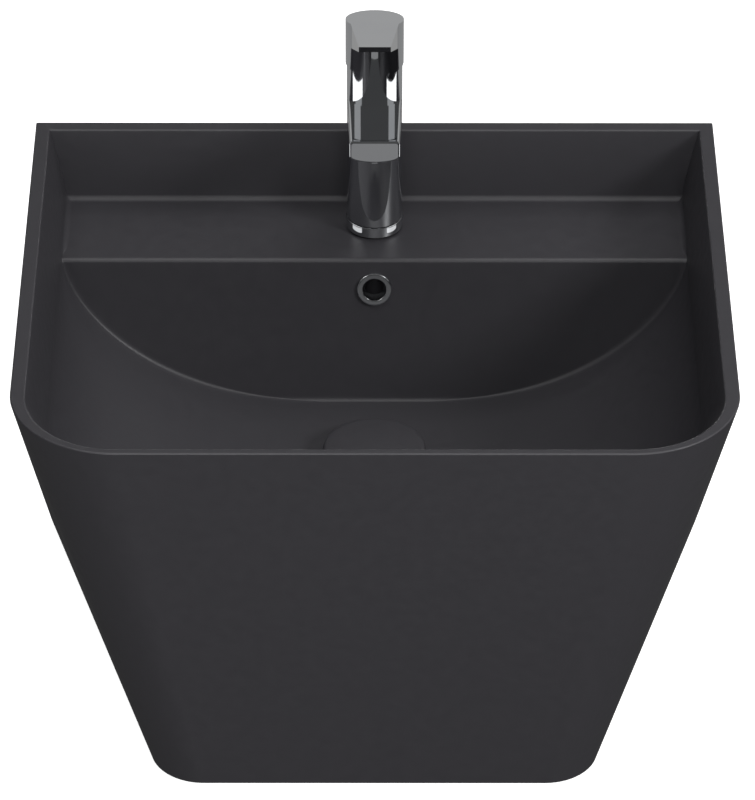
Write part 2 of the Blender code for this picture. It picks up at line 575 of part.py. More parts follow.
def make_trap():
    foot = Vector((0, DRAIN.y, TRAP_FOOT_Z))
    side = TRAP_BODY / 2
    pipe = PIPE / 2
    fit = pipe + TOUCH
    thread = side - TRAP_WALL - TOUCH
    seam = CUP_HIGH + SEAL_THICK + 2 * TOUCH

    cup = [(0, 0), (side - 4 * MM, 0), (side, 4 * MM), (side, CUP_HIGH), (side - TRAP_WALL, CUP_HIGH),
           (side - TRAP_WALL, 6 * MM), (side - TRAP_WALL - 3 * MM, TRAP_WALL), (0, TRAP_WALL)]
    show("trap_cup", turned("trap_cup", cup, foot), CHROME)
    show("trap_cup_seal", ring("trap_cup_seal", TRAP_BODY, 2 * (thread + TOUCH), CUP_HIGH + TOUCH,
                               CUP_HIGH + TOUCH + SEAL_THICK, foot), RUBBER)

    collar = fit + 3 * MM
    body = show("trap_body", turned("trap_body", [
        (thread - TRAP_WALL, seam - 10 * MM), (thread, seam - 10 * MM), (thread, seam), (side, seam),
        (side, TRAP_HIGH - 5 * MM), (side - 5 * MM, TRAP_HIGH), (collar, TRAP_HIGH),
        (collar, TRAP_HIGH + COLLAR_HIGH), (fit, TRAP_HIGH + COLLAR_HIGH), (fit, TRAP_HIGH - TRAP_WALL),
        (side - TRAP_WALL - 4 * MM, TRAP_HIGH - TRAP_WALL), (side - TRAP_WALL - 1 * MM, TRAP_HIGH - 7 * MM),
        (thread - TRAP_WALL, seam + 6 * MM),
    ], foot), CHROME)
    outlet = foot + UP * (TRAP_HIGH - OUTLET_DOWN)
    stub_end = outlet + BACK * (side + STUB)
    join(body, rod("stub", 2 * collar, outlet + BACK * (side - TRAP_WALL / 2), stub_end))
    cut(body, rod("stub_bore", 2 * fit, outlet + BACK * (side + 4 * MM), stub_end + BACK * PAST),
        rod("stub_port", PIPE - 4 * MM, outlet + BACK * side / 3, stub_end))

    # the inlet hangs from the waste by a flange, which a union nut pulls up against a washer
    joint = Vector((0, DRAIN.y, WASTE_END_Z))
    washer = -TOUCH - SEAL_THICK
    flange = washer - TOUCH
    bore = pipe - PIPE_WALL
    dip = foot.z + CUP_HIGH - joint.z
    show("trap_washer", ring("trap_washer", WASTE_TUBE, 2 * bore, washer, -TOUCH, joint), RUBBER)
    show("trap_inlet", turned("trap_inlet", [
        (bore, dip), (pipe, dip), (pipe, flange - FLANGE), (WASTE_TUBE / 2, flange - FLANGE),
        (WASTE_TUBE / 2, flange), (bore, flange),
    ], joint), CHROME)
    nut_low = flange - FLANGE - TOUCH - NUT_LIP
    thread_width = WASTE_TUBE + 2 * TOUCH
    show("trap_nut", cap_nut("trap_nut", PIPE + 2 * TOUCH, thread_width, -(nut_low + NUT_HIGH), -nut_low,
                             joint, -UP), CHROME)
    top_nut = TRAP_HIGH + COLLAR_HIGH + TOUCH + NUT_LIP
    show("trap_collar_nut", cap_nut("trap_collar_nut", PIPE + 2 * TOUCH, 2 * (collar + TOUCH),
                                    top_nut - NUT_HIGH, top_nut, foot), CHROME)

    end = side + STUB + TOUCH + NUT_LIP
    show("trap_outlet_nut", cap_nut("trap_outlet_nut", PIPE + 2 * TOUCH, 2 * (collar + TOUCH), end - NUT_HIGH,
                                    end, outlet, BACK), CHROME)
    to_wall = WALL_Y - outlet.y
    show("trap_outlet_pipe", ring("trap_outlet_pipe", PIPE, PIPE - 2 * PIPE_WALL, side + 5 * MM, to_wall,
                                  outlet, BACK), CHROME)
    show("wall_rosette", turned("wall_rosette", [
        (fit, -ROSETTE_DEEP), (fit + 3 * MM, -ROSETTE_DEEP), (ROSETTE / 2 - 4 * MM, -3 * MM),
        (ROSETTE / 2, -1 * MM), (ROSETTE / 2, 0), (ROSETTE / 2 - 5 * MM, 0), (fit, -ROSETTE_DEEP + 3 * MM),
    ], outlet + BACK * to_wall, BACK), CHROME)


# --- the mixer ---------------------------------------------------------------------------------------------

def spout_section(along, inset=0.0):
    """The spout's outline at a distance in front of the column's axis: a flat top, upright sides and a
    rounded underside. It can be drawn in all round, for the rounded edge of the front face."""
    share = along / SPOUT_REACH
    half = COLUMN / 2 - 0.2 * MM - (COLUMN - SPOUT_TIP_WIDE) / 2 * share - inset
    top = SPOUT_TOP + SPOUT_RISE * share - inset
    deep = SPOUT_ROOT_DEEP + (SPOUT_TIP_DEEP - SPOUT_ROOT_DEEP) * share - 2 * inset
    belly = deep * 0.3
    round_over = 2.2 * MM
    right = arc((half - round_over, top - round_over), round_over, math.pi / 2, 0, steps=4)
    under = [Vector((half * math.cos(a), top - deep + belly - belly * math.sin(a)))
             for a in (math.pi / 2 * i / 8 for i in range(9))]
    right = right + under
    ring_points = right + [Vector((-p.x, p.y)) for p in reversed(right[:-1])]
    return [TAP + Vector((p.x, -along, p.y)) for p in ring_points]


def make_tap_body():
    low = GASKET_THICK + BASE_RING_HIGH + 3 * TOUCH
    radius = COLUMN / 2
    body = show("tap_body", turned("tap_body", [
        (0, low), (radius - 0.3 * MM, low), (radius, low + 0.3 * MM), (radius, COLUMN_HIGH - 0.4 * MM),
        (radius - 0.4 * MM, COLUMN_HIGH), (0, COLUMN_HIGH)], TAP, steps=56), CHROME)
    edge = 1.6 * MM
    sections = [spout_section(0), spout_section(SPOUT_REACH - 2 * edge), spout_section(SPOUT_REACH - edge),
                spout_section(SPOUT_REACH - 0.3 * edge, 0.3 * edge), spout_section(SPOUT_REACH, edge)]
    join(body, loft("spout", sections))

    aerator = TAP + Vector((0, AERATOR_BACK - SPOUT_REACH, aerator_roof()))
    chamber = TAP + UP * CARTRIDGE_FLOOR
    outlet = chamber + Vector((0, -7 * MM, -8 * MM))
    cut(body, rod("cartridge_bore", CARTRIDGE_BORE, chamber, TAP + UP * (COLUMN_HIGH + PAST)),
        rod("inlet_bore", INLET_BORE, TAP, TAP + UP * INLET_TOP),
        rod("aerator_bore", AERATOR + 2 * TOUCH, aerator - UP * (SPOUT_TIP_DEEP + PAST), aerator),
        rod("waterway", WATERWAY, aerator - UP * 4 * MM, outlet, steps=20),
        rod("outlet_port", OUTLET_PORT, outlet - UP * 1 * MM, outlet + UP * 10 * MM, steps=16))
    for side in (-1, 1):
        tail = TAP + Vector((side * TAIL_SPACING / 2, -TAIL_FORWARD, INLET_TOP))
        port = TAP + Vector((side * 5 * MM, 0, CARTRIDGE_FLOOR))
        cut(body, rod(f"tail_socket_{side}", TAIL + 2 * TOUCH, tail - UP * PAST, tail + UP * SOCKET_DEEP, steps=20),
            rod(f"inlet_way_{side}", INLET_WAY, tail + UP * (SOCKET_DEEP - 1 * MM), port + UP * 1 * MM, steps=16))
    stud = TAP + Vector((0, STUD_BACK, INLET_TOP))
    cut(body, rod("stud_socket", STUD + 2 * TOUCH, stud - UP * PAST, stud + UP * SOCKET_DEEP, steps=20))


def aerator_roof():
    """Height above the shelf that the aerator's bore is cut up to."""
    share = 1 - AERATOR_BACK / SPOUT_REACH
    deep = SPOUT_ROOT_DEEP + (SPOUT_TIP_DEEP - SPOUT_ROOT_DEEP) * share
    return SPOUT_TOP + SPOUT_RISE * share - deep + 9 * MM


def make_aerator():
    roof = aerator_roof() - TOUCH
    lip = SPOUT_TOP + SPOUT_RISE - SPOUT_TIP_DEEP - AERATOR_SHOWS
    place = TAP + Vector((0, AERATOR_BACK - SPOUT_REACH, 0))
    show("aerator_housing", turned("aerator_housing", [
        (AERATOR / 2 - 2.5 * MM, lip), (AERATOR / 2 - 0.6 * MM, lip), (AERATOR / 2, lip + 0.6 * MM),
        (AERATOR / 2, roof), (AERATOR / 2 - 1.6 * MM, roof), (AERATOR / 2 - 1.6 * MM, lip + 1.5 * MM),
        (AERATOR / 2 - 2.5 * MM, lip + 1 * MM),
    ], place, steps=32), CHROME)
    show("aerator_insert", turned("aerator_insert", [
        (0, lip + 2 * MM), (AERATOR / 2 - 1.9 * MM, lip + 2 * MM), (AERATOR / 2 - 1.9 * MM, roof), (0, roof),
    ], place, steps=32), PLASTIC)


def make_tap_base():
    show("tap_base_gasket", ring("tap_base_gasket", BASE_RING - 2 * MM, TAP_HOLE, TOUCH, TOUCH + GASKET_THICK,
                                 TAP), RUBBER)
    low = 2 * TOUCH + GASKET_THICK
    high = low + BASE_RING_HIGH
    show("tap_base_ring", turned("tap_base_ring", [
        (TAP_HOLE / 2, low), (BASE_RING / 2 - 0.5 * MM, low), (BASE_RING / 2, low + 0.5 * MM),
        (BASE_RING / 2, high - 0.8 * MM), (BASE_RING / 2 - 0.8 * MM, high), (TAP_HOLE / 2, high),
    ], TAP, steps=48), CHROME)


def make_cartridge():
    """Everything between the column and the handle. Heights here are from the pivot of the handle."""
    nut_top = -1.8 * MM
    nut_low = nut_top - CARTRIDGE_NUT_HIGH
    body_top = nut_low - TOUCH
    body_low = CARTRIDGE_FLOOR + TOUCH - (PIVOT.z - TAP.z)
    recess = body_top - 2 * MM
    rotor = ROTOR / 2
    body = show("cartridge_body", turned("cartridge_body", [
        (0, body_low), (CARTRIDGE / 2, body_low), (CARTRIDGE / 2, body_top), (rotor + RUN, body_top),
        (rotor + RUN, recess), (0, recess)], PIVOT, steps=32), GREY_PLASTIC)
    for i, (x, y) in enumerate(((-5 * MM, 0), (5 * MM, 0), (0, -7 * MM))):
        port = PIVOT + Vector((x, y, body_low))
        cut(body, rod(f"cartridge_port_{i}", OUTLET_PORT, port - UP * MM, port + UP * 6 * MM, steps=16))
    show("cartridge_nut", ring("cartridge_nut", CARTRIDGE_BORE - 2 * TOUCH, ROTOR + 2 * RUN, nut_low, nut_top,
                               PIVOT), BRASS)

    rotor_low, rotor_top = recess + RUN, 6 * MM
    slot_floor = -6.4 * MM
    turning = show("cartridge_rotor", rod("cartridge_rotor", ROTOR, PIVOT + UP * rotor_low,
                                          PIVOT + UP * rotor_top), PLASTIC)
    slot = STEM / 2 + RUN
    cut(turning, box("stem_slot", PIVOT + Vector((-slot, -ROTOR, slot_floor)),
                     PIVOT + Vector((slot, ROTOR, rotor_top + PAST))))
    across = Vector((1, 0, 0))
    cut(turning, rod("pin_hole", PIN + 2 * TOUCH, PIVOT - across * ROTOR, PIVOT + across * ROTOR, steps=16))
    show("cartridge_pin", rod("cartridge_pin", PIN, PIVOT - across * (rotor - 1 * MM),
                              PIVOT + across * (rotor - 1 * MM), steps=16), STEEL)

    foot = -4.4 * MM
    stem = show("cartridge_stem", box("cartridge_stem", PIVOT + Vector((-STEM / 2, -STEM / 2, foot)),
                                      PIVOT + Vector((STEM / 2, STEM / 2, STEM_HIGH))), BRASS)
    cut(stem, rod("stem_hole", PIN + 2 * TOUCH, PIVOT - across * STEM, PIVOT + across * STEM, steps=16))

    outer, inner = DOME / 2, DOME / 2 - DOME_WALL
    mouth = math.acos(DOME_MOUTH / DOME)
    outside = [(p.x, p.y) for p in arc((0, 0), outer, 0, mouth, steps=6)]
    inside = [(p.x, p.y) for p in arc((0, 0), inner, math.acos(DOME_MOUTH / (2 * inner)), 0, steps=3)]
    show("cartridge_dome", turned("cartridge_dome", outside + inside, PIVOT), CHROME)


def make_handle():
    """A round cap with a flat, sloping top that runs out into the lever. Its lower edge is cut back behind the
    pivot, so that the back can dip when the front is lifted."""
    def top(along):
        return PIVOT.z + HANDLE_HIGH + along * math.tan(HANDLE_TILT)

    def lever_section(along, half, low):
        y = PIVOT.y - along
        high = top(along) + PAST
        return [(-half, y, low), (half, y, low), (half, y, high), (-half, y, high)]

    root_low = top(0) - LEVER_ROOT_DEEP
    tip_low = top(LEVER_REACH) - LEVER_TIP_THICK
    lever = loft("lever", [lever_section(0, LEVER_ROOT_WIDE / 2, root_low),
                           lever_section(LEVER_REACH, LEVER_TIP_WIDE / 2, tip_low)])
    handle = show("handle", rod("handle", HANDLE, PIVOT, PIVOT + UP * (HANDLE_HIGH + 2 * PAST), steps=56), CHROME)
    join(handle, lever)

    over = box("above_top", (-HANDLE, -2 * LEVER_REACH, 0), (HANDLE, 2 * LEVER_REACH, 4 * HANDLE_HIGH))
    over.transform(Matrix.Translation(PIVOT + UP * HANDLE_HIGH) @ Matrix.Rotation(-HANDLE_TILT, 4, "X"))
    back = box("back_relief", (-HANDLE, 0, -HANDLE), (HANDLE, HANDLE, 0))
    back.transform(Matrix.Translation(PIVOT) @ Matrix.Rotation(LIFT_LIMIT + math.radians(1.5), 4, "X"))
    bm = bmesh.new()
    bmesh.ops.create_uvsphere(bm, u_segments=40, v_segments=24, radius=DOME / 2 + DOME_CLEAR)
    bmesh.ops.translate(bm, vec=PIVOT, verts=bm.verts)
    socket = STEM / 2 + TOUCH
    screw = PIVOT + UP * (STEM_HIGH - SCREW_DOWN)
    cut(handle, over, back, closed_mesh("dome_room", bm),
        box("stem_socket", PIVOT + Vector((-socket, -socket, 0)),
            PIVOT + Vector((socket, socket, STEM_HIGH + TOUCH))),
        rod("screw_hole", SCREW + 2 * TOUCH, screw, screw + BACK * HANDLE, steps=20))

    start = screw + BACK * (STEM / 2 + TOUCH)
    show("handle_screw", rod("handle_screw", SCREW, start, start + BACK * SCREW_LONG, steps=20), STEEL)
    show("handle_plug", rod("handle_plug", SCREW, screw + BACK * (HANDLE / 2 - 4 * MM),
                            screw + BACK * (HANDLE / 2 - 0.8 * MM), steps=20), GREY_PLASTIC)


def make_tap_fixing():
    """Under the shelf: two copper tails, and a stud with a horseshoe that pulls the mixer down."""
    stud = TAP + BACK * STUD_BACK
    under = -DECK_THICK - TOUCH
    seal_low = under - SEAL_THICK
    plate_top = seal_low - TOUCH
    plate_low = plate_top - HORSESHOE_THICK
    nut_top = plate_low - TOUCH
    for name, side in (("inlet_tail_hot", -1), ("inlet_tail_cold", 1)):
        place = TAP + Vector((side * TAIL_SPACING / 2, -TAIL_FORWARD, 0))
        show(name, ring(name, TAIL, TAIL - 2 * TAIL_WALL, -TAIL_BELOW, INLET_TOP + SOCKET_DEEP - 2 * TOUCH,
                        place, steps=24), COPPER)

    room = TAIL_SPACING / 2 + TAIL / 2 + 0.5 * MM
    for name, low, high, finish in (("horseshoe_seal", seal_low, under, RUBBER),
                                    ("horseshoe_plate", plate_low, plate_top, STEEL)):
        shoe = show(name, rod(name, HORSESHOE, TAP + UP * low, TAP + UP * high, steps=40), finish)
        cut(shoe, box(name + "_gap", TAP + Vector((-room, -HORSESHOE, low - MM)),
                      TAP + Vector((room, TAIL / 2 - TAIL_FORWARD + 1 * MM, high + MM))),
            rod(name + "_hole", STUD + 2 * TOUCH, stud + UP * (low - MM), stud + UP * (high + MM), steps=20))
    show("fixing_stud", rod("fixing_stud", STUD, stud + UP * (nut_top - STUD_BELOW),
                            stud + UP * (INLET_TOP + SOCKET_DEEP - TOUCH), steps=20), STEEL)
    hex_nut("fixing_nut", STUD_NUT, STUD + 2 * TOUCH, stud + UP * nut_top,
            stud + UP * (nut_top - STUD_NUT_HIGH), STEEL)


# --- the wall fixings --------------------------------------------------------------------------------------

def make_wall_fixings():
    """Two studs from the wall through the rail, each with a plastic sleeve, a washer and a nut."""
    forward = -BACK
    places = [Vector((side * FIXING_SPACING / 2, WALL_Y, DECK_Z - FIXING_BELOW_DECK)) for side in (-1, 1)]
    face = RIM_BACK + TOUCH
    flange = face + FIXING_WASHER_THICK
    washer = flange + TOUCH
    nut = washer + FIXING_WASHER_THICK + TOUCH
    bore = FIXING_STUD + 2 * TOUCH
    inner, outer = bore / 2, FIXING_BORE / 2 - TOUCH
    sleeve = [(inner, TOUCH), (outer, TOUCH), (outer, face), (FIXING_WASHER / 2, face),
              (FIXING_WASHER / 2, flange), (inner, flange)]
    for side, p in zip(("left", "right"), places):
        stud, sleeve_name, washer_name = f"wall_stud_{side}", f"wall_sleeve_{side}", f"wall_washer_{side}"
        show(stud, rod(stud, FIXING_STUD, p, p + forward * FIXING_STUD_LONG, steps=20), STEEL)
        show(sleeve_name, turned(sleeve_name, sleeve, p, forward, steps=24), PLASTIC)
        show(washer_name, ring(washer_name, FIXING_WASHER, bore, washer, washer + FIXING_WASHER_THICK, p,
                               forward, steps=24), STEEL)
        hex_nut(f"wall_nut_{side}", FIXING_NUT, bore, p + forward * nut,
                p + forward * (nut + FIXING_NUT_HIGH), STEEL)


make_basin()
make_overflow_ring()
make_waste()
make_trap()
make_tap_base()
make_tap_body()
make_aerator()
make_cartridge()
make_handle()
make_tap_fixing()
make_wall_fixings()
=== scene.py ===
# %% [markdown]
# # A matt anthracite washbasin with a chrome mixer
#
# The real object is one big casting in fireclay: a rectangular bowl whose outside tapers down to a smaller
# foot, open at the back and underneath, with a shelf for the tap. It hangs on two wall studs. A single-lever
# mixer stands on the shelf, a press-to-close waste sits in the bowl and a bottle trap hides in the hollow.
#
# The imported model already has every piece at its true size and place. This lesson gives it its looks: the
# ceramic with soft, glazed edges, chrome with clean reflections, and the small things that repeat, such as
# grip ribs, threads and the cells of the aerator.

# %% Load the frame that every piece is measured from
import json
import math

import bmesh
import bpy
from mathutils import Matrix, Vector

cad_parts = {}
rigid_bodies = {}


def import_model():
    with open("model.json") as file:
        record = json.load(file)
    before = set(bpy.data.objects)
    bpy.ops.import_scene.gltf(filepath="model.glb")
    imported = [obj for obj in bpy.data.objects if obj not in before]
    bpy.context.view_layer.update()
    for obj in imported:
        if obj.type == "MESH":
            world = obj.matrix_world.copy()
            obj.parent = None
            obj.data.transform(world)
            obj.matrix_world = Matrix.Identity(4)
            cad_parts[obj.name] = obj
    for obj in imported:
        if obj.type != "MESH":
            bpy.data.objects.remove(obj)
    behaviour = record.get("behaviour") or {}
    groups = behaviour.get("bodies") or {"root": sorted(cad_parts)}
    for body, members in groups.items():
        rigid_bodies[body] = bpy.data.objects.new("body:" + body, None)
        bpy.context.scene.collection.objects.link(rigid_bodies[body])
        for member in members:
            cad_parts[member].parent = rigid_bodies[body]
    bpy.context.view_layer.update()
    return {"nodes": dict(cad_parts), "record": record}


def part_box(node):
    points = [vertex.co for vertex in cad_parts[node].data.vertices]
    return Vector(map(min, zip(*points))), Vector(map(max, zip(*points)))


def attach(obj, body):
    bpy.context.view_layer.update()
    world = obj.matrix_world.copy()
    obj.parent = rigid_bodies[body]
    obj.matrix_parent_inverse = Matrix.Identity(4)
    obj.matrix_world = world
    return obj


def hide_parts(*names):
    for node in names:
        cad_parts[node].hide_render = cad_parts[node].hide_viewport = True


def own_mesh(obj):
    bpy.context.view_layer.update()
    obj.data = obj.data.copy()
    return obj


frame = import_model()
MM = 0.001
GAP = 0.3 * MM              # left between pieces that touch
UP = Vector((0, 0, 1))
BACK = Vector((0, 1, 0))


def body_of(node):
    """The name of the body that a node moves with."""
    groups = frame["record"]["behaviour"]["bodies"]
    return next(body for body, nodes in groups.items() if node in nodes)


def middle_of(node):
    """The middle of a node's box."""
    low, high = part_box(node)
    return (low + high) / 2


# %% [markdown]
# ## Finishes
#
# A finish is more than a colour. A matt glaze is a rough skin over a smooth pool of glass, so its gloss
# changes a little from place to place and light rolls over a very faint waviness. Chrome plate is a mirror
# with a trace of polishing haze. Each finish below is a small tree of nodes: a Principled shader, with noise
# that feeds only its roughness, bump and a slight shift of colour. Patterns are sized in millimetres from the
# real thing, and Object coordinates keep them fixed to the piece when it moves.

# %% Helpers for colours and nodes
def linear(hex_colour, alpha=1.0):
    """An sRGB hex value as the linear colour that Blender works in."""
    srgb = [int(hex_colour[i:i + 2], 16) / 255 for i in (1, 3, 5)]
    return (*[c / 12.92 if c <= 0.04045 else ((c + 0.055) / 1.055) ** 2.4 for c in srgb], alpha)


def add_node(tree, kind, links=(), **settings):
    """Adds a node. Settings are its properties or, by name, its inputs. Links are (from_socket, input)."""
    node = tree.nodes.new(kind)
    for name, value in settings.items():
        if hasattr(node, name):
            setattr(node, name, value)
        else:
            node.inputs[name.replace("_", " ")].default_value = value
    for socket, target in links:
        tree.links.new(socket, node.inputs[target])
    return node


def finish(name, colour, roughness, metallic=0.0, ior=1.45, other=None, grain=2 * MM, spread=0.03,
           bump=0.0, detail=3.0):
    """A Principled finish. Noise with features of about one grain shifts its colour towards other, its
    roughness by the spread, and its height by the bump, in metres."""
    made = bpy.data.materials.new(name)
    made.use_nodes = True
    tree = made.node_tree
    shader = tree.nodes["Principled BSDF"]
    shader.inputs["Metallic"].default_value = metallic
    if not metallic:
        shader.inputs["IOR"].default_value = ior
    place = add_node(tree, "ShaderNodeTexCoord")
    noise = add_node(tree, "ShaderNodeTexNoise", [(place.outputs["Object"], "Vector")], Scale=1 / grain,
                     Detail=detail)
    rough = add_node(tree, "ShaderNodeMapRange", [(noise.outputs["Fac"], "Value")], From_Min=0.3,
                     From_Max=0.7, To_Min=roughness - spread, To_Max=roughness + spread)
    mix = add_node(tree, "ShaderNodeMix", [(noise.outputs["Fac"], "Factor")], data_type="RGBA")
    mix.inputs[6].default_value = linear(colour)
    mix.inputs[7].default_value = linear(other or colour)
    tree.links.new(mix.outputs[2], shader.inputs["Base Color"])
    tree.links.new(rough.outputs["Result"], shader.inputs["Roughness"])
    if bump:
        height = add_node(tree, "ShaderNodeBump", [(noise.outputs["Fac"], "Height")], Distance=bump)
        tree.links.new(height.outputs["Normal"], shader.inputs["Normal"])
    return made


# %% The finishes of this object
# Matt anthracite glaze, sprayed and fired: dark, faintly bluish, a soft sheen and a trace of orange peel
# 9 mm across. The real peel is finer than the eye sees at arm's length, so it is drawn a little coarser.
glaze = finish("matt_anthracite_glaze", "#38373B", 0.46, other="#3C3B3F", ior=1.52, grain=9 * MM, spread=0.03,
               bump=0.02 * MM, detail=2.0)
# Bright chrome plate over polished brass: a mirror, with a trace of haze from the polishing mop.
chrome = finish("polished_chrome_plate", "#D9DBDD", 0.045, 1.0, other="#D3D5D8", grain=25 * MM, spread=0.015)
# Machined brass, left bare: turning marks that run round the piece soften its gloss.
brass = finish("machined_brass", "#B99A57", 0.30, 1.0, other="#A98B4C", grain=3 * MM, spread=0.08,
               bump=0.01 * MM)
# Stainless steel, rolled and cut: a fine, cool grain.
steel = finish("rolled_stainless_steel", "#A9ABAE", 0.30, 1.0, other="#9B9DA1", grain=1.5 * MM, spread=0.07,
               bump=0.01 * MM)
# Drawn copper tube, a little tarnished from handling.
copper = finish("drawn_copper", "#B87447", 0.28, 1.0, other="#9A5F3D", grain=12 * MM, spread=0.10)
# Moulded black rubber: dull, with the dusty bloom that seals have.
rubber = finish("moulded_rubber", "#1C1C1D", 0.75, other="#242425", grain=2 * MM, spread=0.08, bump=0.03 * MM)
# Injection moulded nylon and acetal: an even satin with a fine spark-eroded texture.
plastic = finish("moulded_white_nylon", "#E4E4E0", 0.42, other="#DDDDD8", ior=1.53, grain=0.8 * MM,
                 spread=0.04, bump=0.01 * MM)
grey_plastic = finish("moulded_grey_acetal", "#8A8D91", 0.45, other="#84878B", ior=1.48, grain=0.8 * MM,
                      spread=0.04, bump=0.01 * MM)
FINISH_OF_SLOT = {"anthracite_ceramic": glaze, "chrome": chrome, "brass": brass, "stainless_steel": steel,
                  "copper": copper, "black_rubber": rubber, "white_plastic": plastic,
                  "grey_plastic": grey_plastic}


def slot_of(node):
    """The record's slot for a node, which its own material is named for."""
    return frame["nodes"][node].material_slots[0].material.name.split(".")[0]


slots = {node: slot_of(node) for node in frame["nodes"]}
for node, thing in frame["nodes"].items():
    thing.material_slots[0].material = FINISH_OF_SLOT[slots[node]]
print("finishes:", sorted(set(slots.values())))


# %% [markdown]
# ## Turning bmeshes into pieces
#
# Big flat faces next to small rounded edges shade badly when every corner shares one averaged normal: the
# roundness bleeds across the flat. Two things cure it. Edges sharper than an angle are marked sharp, and the
# Weighted Normal modifier lets the large faces decide how their corners are lit.

# %% Helpers that make pieces
def sealed(name, bm):
    """The bmesh as a mesh, with its seams welded and its faces looking out."""
    bmesh.ops.remove_doubles(bm, verts=bm.verts, dist=1e-6)
    bmesh.ops.recalc_face_normals(bm, faces=bm.faces)
    mesh = bpy.data.meshes.new(name)
    bm.to_mesh(mesh)
    bm.free()
    return mesh


def smooth_by_angle(mesh, degrees=32):
    """Smooth faces, with a crease wherever two meet at more than this angle."""
    mesh.polygons.foreach_set("use_smooth", [True] * len(mesh.polygons))
    bm = bmesh.new()
    bm.from_mesh(mesh)
    limit = math.radians(degrees)
    for edge in bm.edges:
        edge.smooth = len(edge.link_faces) == 2 and edge.calc_face_angle(0) < limit
    bm.to_mesh(mesh)
    bm.free()


def piece(name, mesh, material, node, round_off=0.0, body=None):
    """A finished piece in place of a CAD node. Its sharp edges are rounded off by that radius."""
    made = bpy.data.objects.new(name, mesh)
    bpy.context.scene.collection.objects.link(made)
    mesh.materials.clear()
    mesh.materials.append(material)
    if round_off:
        bevel = made.modifiers.new("rounded edges", "BEVEL")
        bevel.width = round_off
        bevel.segments = 3
        bevel.limit_method = "ANGLE"
        bevel.angle_limit = math.radians(35)
        bevel.use_clamp_overlap = True
        bevel.miter_outer = "MITER_ARC"
        settle(made)
    smooth_by_angle(made.data)
    weigh = made.modifiers.new("flat faces stay flat", "WEIGHTED_NORMAL")
    weigh.keep_sharp = True
    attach(made, body or body_of(node))
    if node:
        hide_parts(node)
    return made


def settle(thing):
    """Turns the object with its modifiers into a plain mesh."""
    bpy.context.view_layer.update()
    view = thing.evaluated_get(bpy.context.evaluated_depsgraph_get())
    mesh = bpy.data.meshes.new_from_object(view)
    thing.modifiers.clear()
    thing.data = mesh
    return mesh


def combined(name, base, *steps):
    """Cuts or joins meshes one after another. Each step is (operation, mesh)."""
    thing = bpy.data.objects.new(name, base)
    bpy.context.scene.collection.objects.link(thing)
    tools = []
    for operation, mesh in steps:
        tool = bpy.data.objects.new(mesh.name, mesh)
        bpy.context.scene.collection.objects.link(tool)
        step = thing.modifiers.new(mesh.name, "BOOLEAN")
        step.operation = operation
        step.solver = "MANIFOLD"
        step.object = tool
        tools.append(tool)
    result = settle(thing)
    for tool in tools + [thing]:
        bpy.data.objects.remove(tool)
    return result


def turned(name, profile, place, axis=UP, steps=96):
    """A closed profile of (radius, distance along the axis) points, spun about the axis through place."""
    bm = bmesh.new()
    corners = [bm.verts.new((radius, 0, height)) for radius, height in profile]
    edges = [bm.edges.new((a, b)) for a, b in zip(corners, corners[1:] + corners[:1]) if a.co.x or b.co.x]
    bmesh.ops.spin(bm, geom=corners + edges, axis=(0, 0, 1), cent=(0, 0, 0), steps=steps, angle=math.tau,
                   use_merge=True)
    turn = UP.rotation_difference(axis).to_matrix().to_4x4()
    bmesh.ops.transform(bm, matrix=Matrix.Translation(place) @ turn, verts=bm.verts)
    return sealed(name, bm)


def rod(name, width, start, end, steps=64):
    """A round bar between two points."""
    start, end = Vector(start), Vector(end)
    length = (end - start).length
    return turned(name, [(0, 0), (width / 2, 0), (width / 2, length), (0, length)], start, end - start, steps)


def box(name, low, high):
    """A block between two opposite corners."""
    low, high = Vector(low), Vector(high)
    bm = bmesh.new()
    bmesh.ops.create_cube(bm, size=1)
    bmesh.ops.scale(bm, vec=high - low, verts=bm.verts)
    bmesh.ops.translate(bm, vec=(low + high) / 2, verts=bm.verts)
    return sealed(name, bm)


def hull(name, points):
    """The tightest convex skin round the points."""
    bm = bmesh.new()
    made = bmesh.ops.convex_hull(bm, input=[bm.verts.new(p) for p in points])
    spare = [v for v in made["geom_interior"] if isinstance(v, bmesh.types.BMVert)]
    bmesh.ops.delete(bm, geom=spare, context="VERTS")
    return sealed(name, bm)


def band(bm, first, second):
    """Faces between two closed rings of vertices."""
    for i in range(len(first)):
        j = (i + 1) % len(first)
        bm.faces.new((first[i], first[j], second[j], second[i]))


def closed_tube(bm, rings):
    """A band from each ring to the next, and a lid on both ends."""
    for first, second in zip(rings, rings[1:]):
        band(bm, first, second)
    bm.faces.new(rings[0])
    bm.faces.new(rings[-1])


def arc(centre, radius, start, end, steps):
    """Points on an arc in a plane, both ends included. Angles are in radians."""
    angles = [start + (end - start) * i / steps for i in range(steps + 1)]
    return [Vector((centre[0] + radius * math.cos(a), centre[1] + radius * math.sin(a))) for a in angles]


# %% [markdown]
# ## The ceramic: outside
#
# Fireclay is cast in a plaster mould, so it is all soft edges: nothing is sharper than a millimetre or two,
# and the glaze pools a little wider in the inner corners. The outside is the tightest skin that can be
# stretched over two outlines, the big rim above and the smaller foot below. Rounding both outlines at their
# edges before stretching the skin gives the rounded rim and foot for free.

